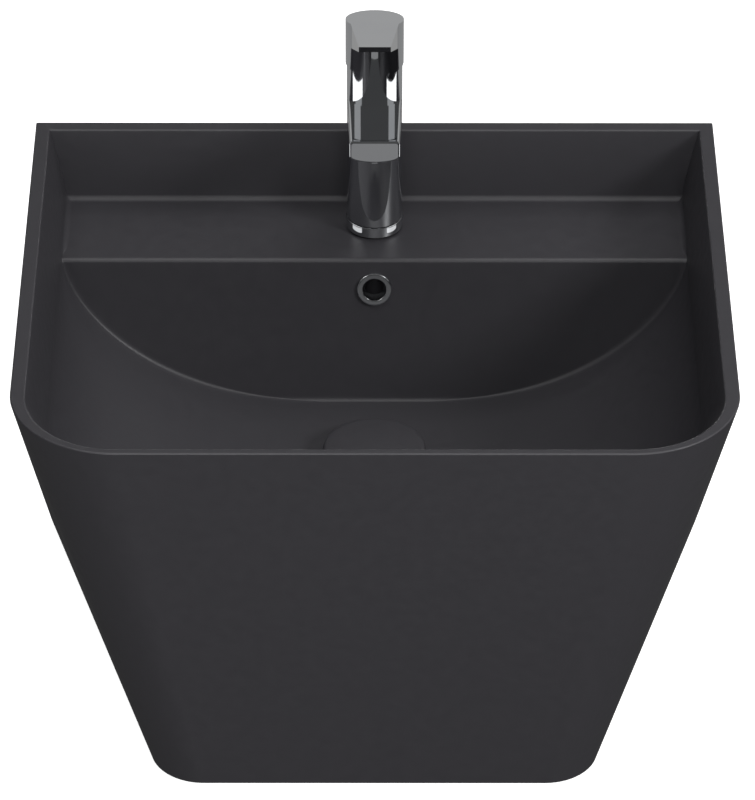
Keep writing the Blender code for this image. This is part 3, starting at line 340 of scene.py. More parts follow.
# %% Sizes of the ceramic
low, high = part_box("basin_body")
HALF_WIDTH = high.x
FRONT_Y, WALL_Y, HEIGHT = low.y, high.y, high.z
DECK_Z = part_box("tap_base_gasket")[0].z - GAP
FLOOR_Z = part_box("waste_body")[1].z
DRAIN = Vector((0, middle_of("waste_body").y, FLOOR_Z))
TAP = Vector((0, middle_of("tap_base_ring").y, DECK_Z))
RIM_CORNER = 82 * MM
FOOT_HALF = 168.5 * MM
FOOT_SETBACK = 110 * MM
FOOT_CORNER = 43.5 * MM
RIM_SIDE = 11.5 * MM
RIM_BACK = 11.5 * MM
RIM_FRONT = 6.5 * MM
SHELL = 11 * MM
BOWL_WALL = 11 * MM
DECK_LENGTH = 92 * MM
DECK_TAPER = 12 * MM
DECK_THICK = 14 * MM
BOWL_LEAN = math.radians(10)
BOWL_FLAT = 42 * MM
BOWL_FRONT_SWEEP = 45 * MM
BOWL_CORNER_GROWS = 90 * MM
SIDE_START, SIDE_END = 1.6, 0.45   # exponents of the curve of the bowl's sides
DECK_BACK_Y = WALL_Y - RIM_BACK
DECK_FRONT_Y = DECK_BACK_Y - DECK_LENGTH
DECK_DROP = HEIGHT - DECK_Z
BOWL_DEPTH = HEIGHT - FLOOR_Z
EDGE = 1.3 * MM             # rounding of the rim and the foot
print(f"ceramic {2000 * HALF_WIDTH:.0f} mm wide, shelf at {1000 * DECK_Z:.0f}, floor at {1000 * FLOOR_Z:.0f}")


# %% The outside skin
def plan(half_back, half_front, front_y, corner, back_y, steps=40):
    """The right half of an outline in plan, from the wall to where the front's straight begins."""
    side = Vector((half_front - half_back, front_y - back_y)).normalized()
    out = Vector((-side.y, side.x))
    centre_y = front_y + corner
    centre_x = half_back + (-corner - (centre_y - back_y) * out.y) / out.x
    start = math.atan2(out.y, out.x)
    return [Vector((half_back, back_y))] + arc((centre_x, centre_y), corner, start, -math.pi / 2, steps)


def outline(z, *args):
    """The whole outline at height z, from the values that plan takes."""
    right = plan(*args)
    return [Vector((p.x, p.y, z)) for p in right] + [Vector((-p.x, p.y, z)) for p in reversed(right)]


def shroud(name, inset=0.0, beyond=0.0, edge=0.0):
    """The tapering outside. It can be drawn in all round, run on past foot and wall, and have its rim and
    foot rounded by edge."""
    points = []
    for turn in ([i / 4 * math.pi / 2 for i in range(5)] if edge else [0]):
        in_by = inset + edge * (1 - math.cos(turn))
        down = edge * (1 - math.sin(turn)) if edge else 0
        points += outline(HEIGHT - down, HALF_WIDTH - in_by, HALF_WIDTH - in_by, FRONT_Y + in_by,
                          RIM_CORNER - in_by, WALL_Y + beyond)
        points += outline(down - beyond, HALF_WIDTH - in_by, FOOT_HALF - in_by,
                          FRONT_Y + FOOT_SETBACK + in_by, FOOT_CORNER - in_by, WALL_Y + beyond)
    return hull(name, points)


# %% [markdown]
# ## The ceramic: inside
#
# The cavity is drawn as rings that run round it, from the rim down. Above the shelf a ring runs right back to
# the upstand, and below it a ring stops at the bowl's leaning back wall, so the shelf is a patch of its own
# between the two. Where walls meet, the rings' corners and the rows are rounded, tightly at the shelf and
# widely at the floor, because the glaze and the mould both need it.

# %% The bowl's shape at each height
UPPER_ROWS = 8
FILLET_ROWS = 5
BOWL_ROWS = 34
SIDE_STEPS, CORNER_STEPS, FRONT_STEPS, BACK_STEPS, SHELF_STEPS = 14, 22, 12, 44, 16
LEFT_END = 2 * (SIDE_STEPS + CORNER_STEPS + FRONT_STEPS)    # where a ring's front run ends, at the left
SHELF_FILLET = 4.5 * MM
SHELF_EDGE = 3.5 * MM       # rounding of the shelf's front edge
FLOOR_FILLET = 3 * MM
CORNER_AT_SHELF, CORNER_AT_FLOOR = 2.5 * MM, 9 * MM    # fillets between the back wall and the sides


def bowl_back_y(z):
    return DECK_FRONT_Y - (DECK_Z - z) * math.tan(BOWL_LEAN)


def side_wall_x(past_deck):
    """Half the inner width from the rim (0) to the shelf (1): the side walls lean in a little."""
    return HALF_WIDTH - RIM_SIDE - DECK_TAPER * (1 - (1 - past_deck) ** 1.3)


def bowl_shape(z):
    """(half width, front, corner radius) of the bowl at height z."""
    down = max(HEIGHT - z, 0)
    past_deck = min(down / DECK_DROP, 1)
    lowered = min(down / BOWL_DEPTH, 1)
    sunk = min(max((down - DECK_DROP) / (BOWL_DEPTH - DECK_DROP), 0), 1)
    half = side_wall_x(past_deck)
    half = BOWL_FLAT + (half - BOWL_FLAT) * (1 - sunk ** SIDE_START) ** SIDE_END
    front_wall = RIM_FRONT + (SHELL - RIM_FRONT) * past_deck + FOOT_SETBACK / HEIGHT * down
    front = FRONT_Y + front_wall + BOWL_FRONT_SWEEP * (1 - (1 - lowered ** 2.5) ** 0.4)
    corner = RIM_CORNER - RIM_SIDE + BOWL_CORNER_GROWS * lowered
    corner = min(corner, half * 0.95, (bowl_back_y(min(z, DECK_Z)) - front) * 0.8)
    return half, front, corner


# %% Rings that run round the inside
def spaced(start, end, steps, crowd=1.0):
    """Points along a line, closer together at its start when crowd is above 1."""
    return [start + (end - start) * (i / steps) ** crowd for i in range(steps)]


def front_run(half, front, corner, back, z, flare=0.0):
    """From the right side wall at back, round the front, to the left side wall at back."""
    half, front, corner = half + flare, front - flare, corner + flare
    start, side_end = Vector((half, back)), Vector((half, front + corner))
    right = spaced(start, side_end, SIDE_STEPS, 1.6)
    right += arc((half - corner, front + corner), corner, 0, -math.pi / 2, CORNER_STEPS)[:-1]
    right += spaced(Vector((half - corner, front)), Vector((0, front)), FRONT_STEPS)
    run = right + [Vector((0, front))] + [Vector((-p.x, p.y)) for p in reversed(right)]
    return [Vector((p.x, p.y, z)) for p in run]


def even(start, end, steps):
    """Points from start to end, both included, closer together at both ends."""
    shares = [(1 - math.cos(math.pi * i / steps)) / 2 for i in range(steps + 1)]
    return [start.lerp(end, s) for s in shares]


def rounded_corner(ring, index, radius):
    """Rounds a closed ring of points at one corner, with a curve that starts the radius away from it."""
    corner = ring[index]
    ends, moved = {}, {index: 0.5}
    for step in (-1, 1):
        walked, i = 0.0, index
        while step not in ends:
            j = (i + step) % len(ring)
            gap = (ring[j] - ring[i]).length
            if walked + gap >= radius:
                ends[step] = ring[i].lerp(ring[j], (radius - walked) / max(gap, 1e-9))
            else:
                walked, i = walked + gap, j
                moved[j] = 0.5 + step * walked / radius / 2
    for j, t in moved.items():
        ring[j] = ends[-1] * (1 - t) ** 2 + corner * 2 * t * (1 - t) + ends[1] * t ** 2


# %% The cavity, from its rings
def make_cavity():
    """The space inside the basin, as one closed mesh."""
    edge_back = DECK_FRONT_Y + SHELF_EDGE * math.tan((math.pi / 2 - BOWL_LEAN) / 2)
    upper, lower = [], []

    def upper_ring(z, flare=0.0, fillet=0.0):
        half, front, corner = bowl_shape(max(z, DECK_Z))
        ring = front_run(half, front, corner, edge_back, z, flare)
        back = DECK_BACK_Y + flare * 0.999 - fillet
        left = even(Vector((-half - flare, edge_back, z)), Vector((-half - flare, back, z)), SHELF_STEPS)
        for p in left:
            near = min((p.y - edge_back) / (4 * SHELF_FILLET), 1)
            p.x += fillet * near * near * (3 - 2 * near)
        rear = even(Vector((left[-1].x, back, z)), Vector((-left[-1].x, back, z)), BACK_STEPS)
        right = [Vector((-p.x, p.y, p.z)) for p in reversed(left)]
        return ring + left[1:-1] + rear + right[1:-1]

    upper.append(upper_ring(HEIGHT + 12 * MM, EDGE))
    for i in range(5):
        turn = math.pi / 2 * i / 4
        upper.append(upper_ring(HEIGHT - EDGE * (1 - math.cos(turn)), EDGE * (1 - math.sin(turn))))
    top, bottom = HEIGHT - EDGE, DECK_Z + SHELF_FILLET
    upper += [upper_ring(top + (bottom - top) * i / UPPER_ROWS) for i in range(1, UPPER_ROWS + 1)]
    for i in range(1, FILLET_ROWS + 1):
        turn = math.pi / 2 * i / FILLET_ROWS
        upper.append(upper_ring(DECK_Z + SHELF_FILLET * (1 - math.sin(turn)), 0,
                                SHELF_FILLET * (1 - math.cos(turn))))

    sweep = math.pi / 2 - BOWL_LEAN
    for i in range(1, BOWL_ROWS + 1):
        if i <= FILLET_ROWS:
            turn = sweep * i / FILLET_ROWS
            z = DECK_Z - SHELF_EDGE * (1 - math.cos(turn))
            back = edge_back - SHELF_EDGE * math.sin(turn)
        else:
            share = (i - FILLET_ROWS) / (BOWL_ROWS - FILLET_ROWS)
            z_start = DECK_Z - SHELF_EDGE * (1 - math.cos(sweep))
            z = z_start - (z_start - FLOOR_Z) * math.sin(math.pi / 2 * share)
            back = bowl_back_y(z)
        above = min((z - FLOOR_Z) / FLOOR_FILLET, 1)
        back -= FLOOR_FILLET * (1 - math.sqrt(max(1 - (1 - above) ** 2, 0))) * 0.8
        half, front, corner = bowl_shape(z)
        ring = front_run(half, front, corner, back, z)
        ring += even(Vector((-half, back, z)), Vector((half, back, z)), BACK_STEPS)[1:-1]
        sunk = (DECK_Z - z) / (DECK_Z - FLOOR_Z)
        radius = CORNER_AT_SHELF * min(i / FILLET_ROWS, 1) + (CORNER_AT_FLOOR - CORNER_AT_SHELF) * sunk
        rounded_corner(ring, 0, radius)
        rounded_corner(ring, LEFT_END, radius)
        lower.append(ring)

    bm = bmesh.new()
    high_rings = [[bm.verts.new(p) for p in ring] for ring in upper]
    low_rings = [[bm.verts.new(p) for p in ring] for ring in lower]

    bm.faces.new(high_rings[0])
    for first, second in zip(high_rings, high_rings[1:]):
        band(bm, first, second)

    # the shelf: a patch between the left wall, the upstand, the right wall and its own front edge
    last = high_rings[-1]
    left_back = LEFT_END + SHELF_STEPS
    right_back = left_back + BACK_STEPS
    left, rear = last[LEFT_END:left_back + 1], last[left_back:right_back + 1]
    right = [last[0]] + list(reversed(last[right_back:]))
    rows = []
    for i in range(SHELF_STEPS + 1):
        if i == SHELF_STEPS:
            rows.append(rear)
            continue
        row = [left[i]]
        for k in range(1, BACK_STEPS):
            share = (1 - math.cos(math.pi * k / BACK_STEPS)) / 2
            row.append(bm.verts.new(left[i].co.lerp(right[i].co, share)))
        rows.append(row + [right[i]])
    for first, second in zip(rows, rows[1:]):
        for k in range(BACK_STEPS):
            bm.faces.new((first[k], first[k + 1], second[k + 1], second[k]))

    # the bowl: its first ring hangs from the walls and the shelf's front edge
    first_ring = last[:LEFT_END] + rows[0][:-1]
    for ring_above, ring_below in zip([first_ring] + low_rings, low_rings):
        band(bm, ring_above, ring_below)
    bm.faces.new(low_rings[-1])
    bmesh.ops.triangulate(bm, faces=[f for f in bm.faces if len(f.verts) > 4])
    return sealed("cavity", bm)


# %% The hollow under the bowl, and the bores
def grown_bowl(name):
    """The outside of the bowl's wall, which the hollow stops at."""
    bm = bmesh.new()
    rings = []
    heights = [HEIGHT + 10 * MM] + [HEIGHT - DECK_DROP * i / 4 for i in range(4)]
    heights += [DECK_Z - (DECK_Z - FLOOR_Z) * math.sin(math.pi / 2 * i / 20) for i in range(21)]
    for z in heights:
        half, front, corner = bowl_shape(min(z, HEIGHT))
        back = bowl_back_y(min(z, DECK_Z)) + BOWL_WALL
        sunk = min(max((DECK_Z - z) / (DECK_Z - FLOOR_Z), 0), 1)
        ring = outline(z - BOWL_WALL * sunk, half + BOWL_WALL, half + BOWL_WALL, front - BOWL_WALL,
                       corner + BOWL_WALL, back, 24)
        rings.append([bm.verts.new(p) for p in ring])
    closed_tube(bm, rings)
    bmesh.ops.triangulate(bm, faces=[f for f in bm.faces if len(f.verts) > 4])
    return sealed(name, bm)


RAIL_HEIGHT = 90 * MM
CHANNEL = 15 * MM
CHANNEL_WALL = 8 * MM
BOSS_WIDTH = 63 * MM
BOSS_BOTTOM_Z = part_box("waste_lower_gasket")[1].z + GAP
DRAIN_BORE = 45 * MM
PAST = 10 * MM              # how far a cutter runs on past what it cuts
OVERFLOW_BORE = 22 * MM
DUCT_ABOVE, CHANNEL_ABOVE = 19 * MM, 11 * MM    # how far these run on above the overflow
SEAT_WIDTH, SEAT_DEEP = 64 * MM, 3.5 * MM       # the recess round the waste
TAP_HOLE, FIXING_BORE = 35 * MM, 16 * MM
OVERFLOW_Z = DECK_Z - 25 * MM
OVERFLOW = Vector((0, bowl_back_y(OVERFLOW_Z), OVERFLOW_Z))
INTO_WALL = Vector((0, math.cos(BOWL_LEAN), -math.sin(BOWL_LEAN)))
DOWN_WALL = Vector((0, -math.sin(BOWL_LEAN), -math.cos(BOWL_LEAN)))


def make_basin():
    top = OVERFLOW + INTO_WALL * (CHANNEL_WALL + CHANNEL / 2)
    channel_z = FLOOR_Z - CHANNEL_WALL - CHANNEL / 2
    corner = top + DOWN_WALL * (top.z - channel_z) / -DOWN_WALL.z
    boss_side = Vector((0, DRAIN.y + DRAIN_BORE / 2, channel_z))
    duct = CHANNEL + 2 * CHANNEL_WALL
    hollow = combined(
        "hollow", shroud("hollow", SHELL, PAST),
        ("DIFFERENCE", grown_bowl("bowl_wall")),
        ("DIFFERENCE", box("shelf_and_upstand", (-HALF_WIDTH, DECK_FRONT_Y - BOWL_WALL, DECK_Z - DECK_THICK),
                           (HALF_WIDTH, WALL_Y + 2 * PAST, HEIGHT + 1 * MM))),
        ("DIFFERENCE", box("fixing_rail", (-HALF_WIDTH, DECK_BACK_Y, DECK_Z - DECK_THICK - RAIL_HEIGHT),
                           (HALF_WIDTH, WALL_Y + 2 * PAST, DECK_Z))),
        ("DIFFERENCE", rod("duct_down", duct, top - DOWN_WALL * DUCT_ABOVE,
                           corner + DOWN_WALL * CHANNEL / 2)),
        ("DIFFERENCE", rod("duct_forward", duct, corner + BACK * duct / 2, boss_side)),
        ("DIFFERENCE", rod("boss", BOSS_WIDTH, (0, DRAIN.y, BOSS_BOTTOM_Z), DRAIN)))
    steps = [
        ("DIFFERENCE", make_cavity()), ("DIFFERENCE", hollow),
        ("DIFFERENCE", rod("overflow_bore", OVERFLOW_BORE, OVERFLOW - INTO_WALL * PAST,
                           OVERFLOW + INTO_WALL * (CHANNEL_WALL + CHANNEL / 2))),
        ("DIFFERENCE", rod("channel_down", CHANNEL, top - DOWN_WALL * CHANNEL_ABOVE, corner)),
        ("DIFFERENCE", rod("waste_bore", DRAIN_BORE, DRAIN + UP * PAST, (0, DRAIN.y, BOSS_BOTTOM_Z - PAST))),
        ("DIFFERENCE", rod("waste_seat", SEAT_WIDTH, DRAIN + UP * PAST, DRAIN - UP * SEAT_DEEP)),
        ("DIFFERENCE", rod("tap_hole", TAP_HOLE, TAP + UP * PAST, TAP - UP * (DECK_THICK + PAST)))]
    for side in ("left", "right"):
        stud = middle_of(f"wall_sleeve_{side}")
        steps.append(("DIFFERENCE", rod(f"fixing_bore_{side}", FIXING_BORE, (stud.x, WALL_Y + PAST, stud.z),
                                        (stud.x, DECK_BACK_Y - PAST, stud.z), 32)))
    mesh = combined("basin_glazed", shroud("skin", edge=EDGE), *steps)
    return piece("basin_glazed", mesh, glaze, "basin_body")


basin = make_basin()
print("basin:", len(basin.data.polygons), "faces")


# %% [markdown]
# ## The mixer: column and spout
#
# The body is cast in brass, turned and polished, then plated. It is two plain forms that meet: an upright
# column, and a spout that is lofted from a deep root to a thin, flat tip. Polished metal shows every fault,
# so both are drawn finely and their flats are kept truly flat.

# %% The column with its spout
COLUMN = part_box("tap_body")[1].x
COLUMN_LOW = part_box("tap_body")[0].z
COLUMN_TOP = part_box("tap_body")[1].z
SPOUT_REACH = TAP.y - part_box("tap_body")[0].y
SPOUT_TOP = DECK_Z + 122 * MM
SPOUT_RISE = 10 * MM
SPOUT_ROOT_DEEP = 34 * MM
SPOUT_TIP_DEEP = 19.5 * MM
SPOUT_TIP_HALF = 20 * MM
SOFT = 1.6 * MM             # rounding of the spout's front face
CARTRIDGE_BORE, INLET_BORE, AERATOR_BORE = 30 * MM, 34 * MM, 22.6 * MM
CARTRIDGE_CUT, AERATOR_CUT = 60 * MM, 40 * MM   # long enough to come out of the metal
TAIL_GRIP = 9.4 * MM        # how far the tails reach into the metal over the inlet


def spout_section(along, inset=0.0):
    """The spout's outline in front of the axis: a flat top, upright sides and a rounded underside."""
    share = along / SPOUT_REACH
    half = COLUMN - 0.2 * MM + (SPOUT_TIP_HALF - COLUMN) * share - inset
    top = SPOUT_TOP + SPOUT_RISE * share - inset
    deep = SPOUT_ROOT_DEEP + (SPOUT_TIP_DEEP - SPOUT_ROOT_DEEP) * share - 2 * inset
    belly = deep * 0.3
    soft = 2.2 * MM
    right = arc((half - soft, top - soft), soft, math.pi / 2, 0, 8)
    right += [Vector((half * math.cos(a), top - deep + belly - belly * math.sin(a)))
              for a in (math.pi / 2 * i / 24 for i in range(25))]
    ring = right + [Vector((-p.x, p.y)) for p in reversed(right[:-1])]
    return [Vector((p.x, TAP.y - along, p.y)) for p in ring]


def loft(name, sections):
    """A solid through rings that all have the same number of points."""
    bm = bmesh.new()
    closed_tube(bm, [[bm.verts.new(p) for p in section] for section in sections])
    return sealed(name, bm)


def make_mixer_body():
    column = turned("mixer_column", [
        (0, COLUMN_LOW), (COLUMN - 0.3 * MM, COLUMN_LOW), (COLUMN, COLUMN_LOW + 0.3 * MM),
        (COLUMN, COLUMN_TOP - 0.4 * MM), (COLUMN - 0.4 * MM, COLUMN_TOP), (0, COLUMN_TOP)],
        Vector((0, TAP.y, 0)), steps=128)
    stations = [(0, 0), (SPOUT_REACH - 2 * SOFT, 0)]
    for i in range(7):
        turn = math.pi / 2 * i / 6
        stations.append((SPOUT_REACH - SOFT * (1 - math.sin(turn)), SOFT * (1 - math.cos(turn))))
    spout = loft("spout", [spout_section(*station) for station in stations])
    aerator = middle_of("aerator_housing")
    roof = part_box("aerator_housing")[1].z + GAP
    chamber = Vector((0, TAP.y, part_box("cartridge_body")[0].z - GAP))
    inlet_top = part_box("inlet_tail_hot")[1].z - TAIL_GRIP
    mesh = combined(
        "mixer_body", column, ("UNION", spout),
        ("DIFFERENCE", rod("cartridge_bore", CARTRIDGE_BORE, chamber, chamber + UP * CARTRIDGE_CUT)),
        ("DIFFERENCE", rod("inlet_bore", INLET_BORE, (0, TAP.y, DECK_Z), (0, TAP.y, inlet_top))),
        ("DIFFERENCE", rod("aerator_bore", AERATOR_BORE, (0, aerator.y, roof - AERATOR_CUT),
                           (0, aerator.y, roof))))
    return piece("mixer_body", mesh, chrome, "tap_body")


print("mixer body:", len(make_mixer_body().data.polygons), "faces")


# %% [markdown]
# ## The mixer: handle
#
# The handle is a round cap with a flat top that slopes up towards the user and runs out into a short lever.
# Its sides are the cylinder that it was turned from, so the lever looks carved out of the cap. Underneath it
# is scooped out over a dome, and cut back behind, so that it can tip.

# %% The handle
PIVOT = Vector((0, TAP.y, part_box("cartridge_dome")[0].z))
CAP_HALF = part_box("handle")[1].x
CAP_HIGH = 39 * MM
TILT = math.radians(13)
LEVER_REACH = 74 * MM
LEVER_ROOT_HALF = 20.5 * MM
LEVER_TIP_HALF = 12.5 * MM
LEVER_ROOT_DEEP = 26 * MM
LEVER_TIP_THICK = 4.5 * MM
RELIEF_ANGLE = math.radians(26.5)               # a little more than the handle lifts
DOME_ROOM = 20.3 * MM       # radius of the hollow over the dome
SOCKET_HALF, SOCKET_HIGH = 3.5 * MM, 29.8 * MM
SCREW_HOLE = 5.6 * MM
HANDLE_EDGE = 0.45 * MM


def make_handle():
    def top(along):
        return PIVOT.z + CAP_HIGH + along * math.tan(TILT)

    def lever_section(along, half, under):
        y = PIVOT.y - along
        return [Vector((-half, y, under)), Vector((half, y, under)), Vector((half, y, top(along) + PAST)),
                Vector((-half, y, top(along) + PAST))]

    lever = loft("lever", [lever_section(0, LEVER_ROOT_HALF, top(0) - LEVER_ROOT_DEEP),
                           lever_section(LEVER_REACH, LEVER_TIP_HALF, top(LEVER_REACH) - LEVER_TIP_THICK)])
    over = box("above_top", (-0.1, -0.3, 0), (0.1, 0.3, 0.2))
    over.transform(Matrix.Translation(PIVOT + UP * CAP_HIGH) @ Matrix.Rotation(-TILT, 4, "X"))
    relief = box("back_relief", (-0.05, 0, -0.05), (0.05, 0.05, 0))
    relief.transform(Matrix.Translation(PIVOT) @ Matrix.Rotation(RELIEF_ANGLE, 4, "X"))
    room = bmesh.new()
    bmesh.ops.create_uvsphere(room, u_segments=96, v_segments=48, radius=DOME_ROOM)
    bmesh.ops.translate(room, vec=PIVOT, verts=room.verts)
    screw = middle_of("handle_screw")
    mesh = combined(
        "handle_polished", rod("cap", 2 * CAP_HALF, PIVOT, PIVOT + UP * (CAP_HIGH + 2 * PAST), 128),
        ("UNION", lever), ("DIFFERENCE", over), ("DIFFERENCE", relief),
        ("DIFFERENCE", sealed("dome_room", room)),
        ("DIFFERENCE", box("stem_socket", PIVOT - Vector((SOCKET_HALF, SOCKET_HALF, 0)),
                           PIVOT + Vector((SOCKET_HALF, SOCKET_HALF, SOCKET_HIGH)))),
        ("DIFFERENCE", rod("screw_hole", SCREW_HOLE, (0, PIVOT.y, screw.z), (0, PIVOT.y + 0.1, screw.z), 40)))
    return piece("handle_polished", mesh, chrome, "handle", round_off=HANDLE_EDGE)


print("handle:", len(make_handle().data.polygons), "faces")


# %% [markdown]
# ## Turned pieces
#
# Rings, caps and collars come off a lathe, so each is a profile spun round its axis. Small radii are put on
# every edge, because it is those narrow bands that catch the light and tell the eye that a piece is real.

# %% Soft corners for a profile, and the turned pieces
def softened(profile, radii, steps=5):
    """Rounds the corners of a closed profile. A corner with radius 0 stays as it is."""
    out = []
    count = len(profile)
    for i, radius in enumerate(radii):
        here = Vector(profile[i])
        if not radius:
            out.append(tuple(here))
            continue
        before = Vector(profile[i - 1]) - here
        after = Vector(profile[(i + 1) % count]) - here
        start = here + before.normalized() * min(radius, before.length * 0.45)
        end = here + after.normalized() * min(radius, after.length * 0.45)
        for k in range(steps + 1):
            t = k / steps
            out.append(tuple(start * (1 - t) ** 2 + here * 2 * t * (1 - t) + end * t ** 2))
    return out


def make_base_ring():
    low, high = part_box("tap_base_ring")
    inner, outer = 17.5 * MM, high.x
    profile = softened([(inner, low.z), (outer, low.z), (outer, high.z), (inner, high.z)],
                       [0, 0.4 * MM, 1.0 * MM, 0])
    return piece("base_ring_turned", turned("base_ring_turned", profile, (0, TAP.y, 0), steps=128), chrome,
                 "tap_base_ring")


def make_overflow_ring():
    inner, sleeve, lip = 9.3 * MM, 10.7 * MM, 14.0 * MM
    deep, proud = -11 * MM, 2.6 * MM
    profile = softened([(inner, deep), (sleeve, deep), (sleeve, GAP), (lip, GAP), (lip, proud),
                        (inner, proud)],
                       [0, 0, 0, 0.3 * MM, 1.2 * MM, 1.0 * MM], 6)
    return piece("overflow_ring_turned", turned("overflow_ring_turned", profile, OVERFLOW, -INTO_WALL, 96),
                 chrome, "overflow_ring")


def make_waste_cap():
    low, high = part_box("waste_cap")
    half, edge, crown = high.x, low.z, high.z
    dome_share, fall, shoulder, wall = 0.93, 2.2 * MM, 3.2 * MM, 5 * MM
    dome = [(half * dome_share * i / 12, crown - fall * (dome_share * i / 12) ** 2) for i in range(13)]
    rim = softened([dome[-1], (half, crown - shoulder), (half, edge), (half - wall, edge)],
                   [0, shoulder, 1.2 * MM, 0.8 * MM], 8)
    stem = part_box("waste_stem")[1].z + GAP
    socket, roof = 4.8 * MM, edge + 2.5 * MM
    under = [(half - wall - 1 * MM, roof), (socket, roof), (socket, stem), (0, stem)]
    mesh = turned("waste_cap_glazed", dome[:-1] + rim + under, (0, DRAIN.y, 0), steps=128)
    return piece("waste_cap_glazed", mesh, glaze, "waste_cap")


for made in (make_base_ring(), make_overflow_ring(), make_waste_cap()):
    print(made.name + ":", len(made.data.polygons), "faces")


# %% [markdown]
# ## The pieces under the basin
#
# The trap, the nuts and the tails are already right in shape. A copy of each, with its seams welded, its
# edges slightly broken and its round faces smoothed, is all that they need to look machined.

# %% Copies with broken edges
def machined(node, break_edge=0.3 * MM, angle=32):
    bm = bmesh.new()
    bm.from_mesh(frame["nodes"][node].data)
    bmesh.ops.remove_doubles(bm, verts=bm.verts, dist=1e-6)
    bmesh.ops.dissolve_limit(bm, angle_limit=math.radians(1), verts=bm.verts, edges=bm.edges)
    mesh = bpy.data.meshes.new(node + "_machined")
    bm.to_mesh(mesh)
    bm.free()
    if "custom_normal" in mesh.attributes:
        mesh.attributes.remove(mesh.attributes["custom_normal"])
    return piece(node + "_machined", mesh, FINISH_OF_SLOT[slots[node]], node, round_off=break_edge)


for node in ("trap_cup", "trap_body", "trap_inlet", "trap_nut", "trap_collar_nut", "trap_outlet_nut",
             "trap_outlet_pipe", "wall_rosette", "waste_body", "waste_backnut", "inlet_tail_hot",
             "inlet_tail_cold", "cartridge_dome", "aerator_housing", "horseshoe_plate", "fixing_nut"):
    machined(node)
print("machined copies done")


# %% [markdown]
# ## What repeats: grip ribs, threads and the aerator's cells
#
# A union nut is tightened by hand, so its rim is moulded with ribs. A stud is rolled with a thread, and an
# aerator is a disc full of small cells. Each could be modelled once and copied by hand, but a rule is shorter
# and keeps its numbers in sight: ribs stand on a circle, a thread is a profile swept along a spiral, and
# cells fill a disc. Each rule below is a small Geometry Nodes tree with its sizes as named inputs.

# %% Three trees
def new_tree(name, inputs):
    """A Geometry Nodes tree with number inputs and a Finish, and what links its result to the output."""
    tree = bpy.data.node_groups.new(name, "GeometryNodeTree")
    for label, kind in inputs.items():
        tree.interface.new_socket(label, in_out="INPUT", socket_type=kind)
    tree.interface.new_socket("Finish", in_out="INPUT", socket_type="NodeSocketMaterial")
    tree.interface.new_socket("Geometry", in_out="OUTPUT", socket_type="NodeSocketGeometry")
    given = tree.nodes.new("NodeGroupInput").outputs

    def end(geometry):
        real = add_node(tree, "GeometryNodeRealizeInstances", [(geometry, "Geometry")])
        dressed = add_node(tree, "GeometryNodeSetMaterial",
                           [(real.outputs["Geometry"], "Geometry"), (given["Finish"], "Material")])
        add_node(tree, "NodeGroupOutput", [(dressed.outputs["Geometry"], "Geometry")])

    return tree, given, end


LENGTH, COUNT = "NodeSocketFloat", "NodeSocketInt"


def rib_tree():
    """Ribs that stand upright on a circle, each turned to face away from the middle."""
    tree, given, end = new_tree("ribs round a nut", {"Count": COUNT, "Radius": LENGTH, "Proud": LENGTH,
                                                     "Wide": LENGTH, "Long": LENGTH})
    circle = add_node(tree, "GeometryNodeMeshCircle",
                      [(given["Count"], "Vertices"), (given["Radius"], "Radius")])
    size = add_node(tree, "ShaderNodeCombineXYZ",
                    [(given["Proud"], "X"), (given["Wide"], "Y"), (given["Long"], "Z")])
    rib = add_node(tree, "GeometryNodeMeshCube", [(size.outputs["Vector"], "Size")])
    place = add_node(tree, "GeometryNodeInputPosition")
    face_out = add_node(tree, "FunctionNodeAlignRotationToVector", [(place.outputs["Position"], "Vector")],
                        axis="X", pivot_axis="Z")
    ribs = add_node(tree, "GeometryNodeInstanceOnPoints",
                    [(circle.outputs["Mesh"], "Points"), (rib.outputs["Mesh"], "Instance"),
                     (face_out.outputs["Rotation"], "Rotation")])
    end(ribs.outputs["Instances"])
    return tree


def thread_tree():
    """A small diamond swept along a spiral."""
    tree, given, end = new_tree("rolled thread", {"Turns": LENGTH, "Radius": LENGTH, "Long": LENGTH,
                                                  "Depth": LENGTH})
    spiral = add_node(tree, "GeometryNodeCurveSpiral",
                      [(given["Turns"], "Rotations"), (given["Radius"], "Start Radius"),
                       (given["Radius"], "End Radius"), (given["Long"], "Height")], Resolution=20)
    diamond = add_node(tree, "GeometryNodeCurvePrimitiveCircle", [(given["Depth"], "Radius")], Resolution=4)
    swept = add_node(tree, "GeometryNodeCurveToMesh",
                     [(spiral.outputs["Curve"], "Curve"), (diamond.outputs["Curve"], "Profile Curve")],
                     Fill_Caps=True)
    end(swept.outputs["Mesh"])
    return tree


def cell_tree():
    """Six-sided studs on a square grid, kept where they lie inside a disc. The gaps are the water's slots."""
    tree, given, end = new_tree("aerator cells", {"Rows": COUNT, "Spread": LENGTH, "Radius": LENGTH,
                                                  "Cell": LENGTH, "High": LENGTH})
    grid = add_node(tree, "GeometryNodeMeshGrid",
                    [(given["Spread"], "Size X"), (given["Spread"], "Size Y"), (given["Rows"], "Vertices X"),
                     (given["Rows"], "Vertices Y")])
    stud = add_node(tree, "GeometryNodeMeshCylinder",
                    [(given["Cell"], "Radius"), (given["High"], "Depth")], Vertices=6)
    place = add_node(tree, "GeometryNodeInputPosition")
    out = add_node(tree, "ShaderNodeVectorMath", [(place.outputs["Position"], "Vector")], operation="LENGTH")
    inside = add_node(tree, "ShaderNodeMath", [(out.outputs["Value"], 0), (given["Radius"], 1)],
                      operation="LESS_THAN")
    cells = add_node(tree, "GeometryNodeInstanceOnPoints",
                     [(grid.outputs["Mesh"], "Points"), (stud.outputs["Mesh"], "Instance"),
                      (inside.outputs["Value"], "Selection")])
    end(cells.outputs["Instances"])
    return tree


RIBS, THREAD, CELLS = rib_tree(), thread_tree(), cell_tree()


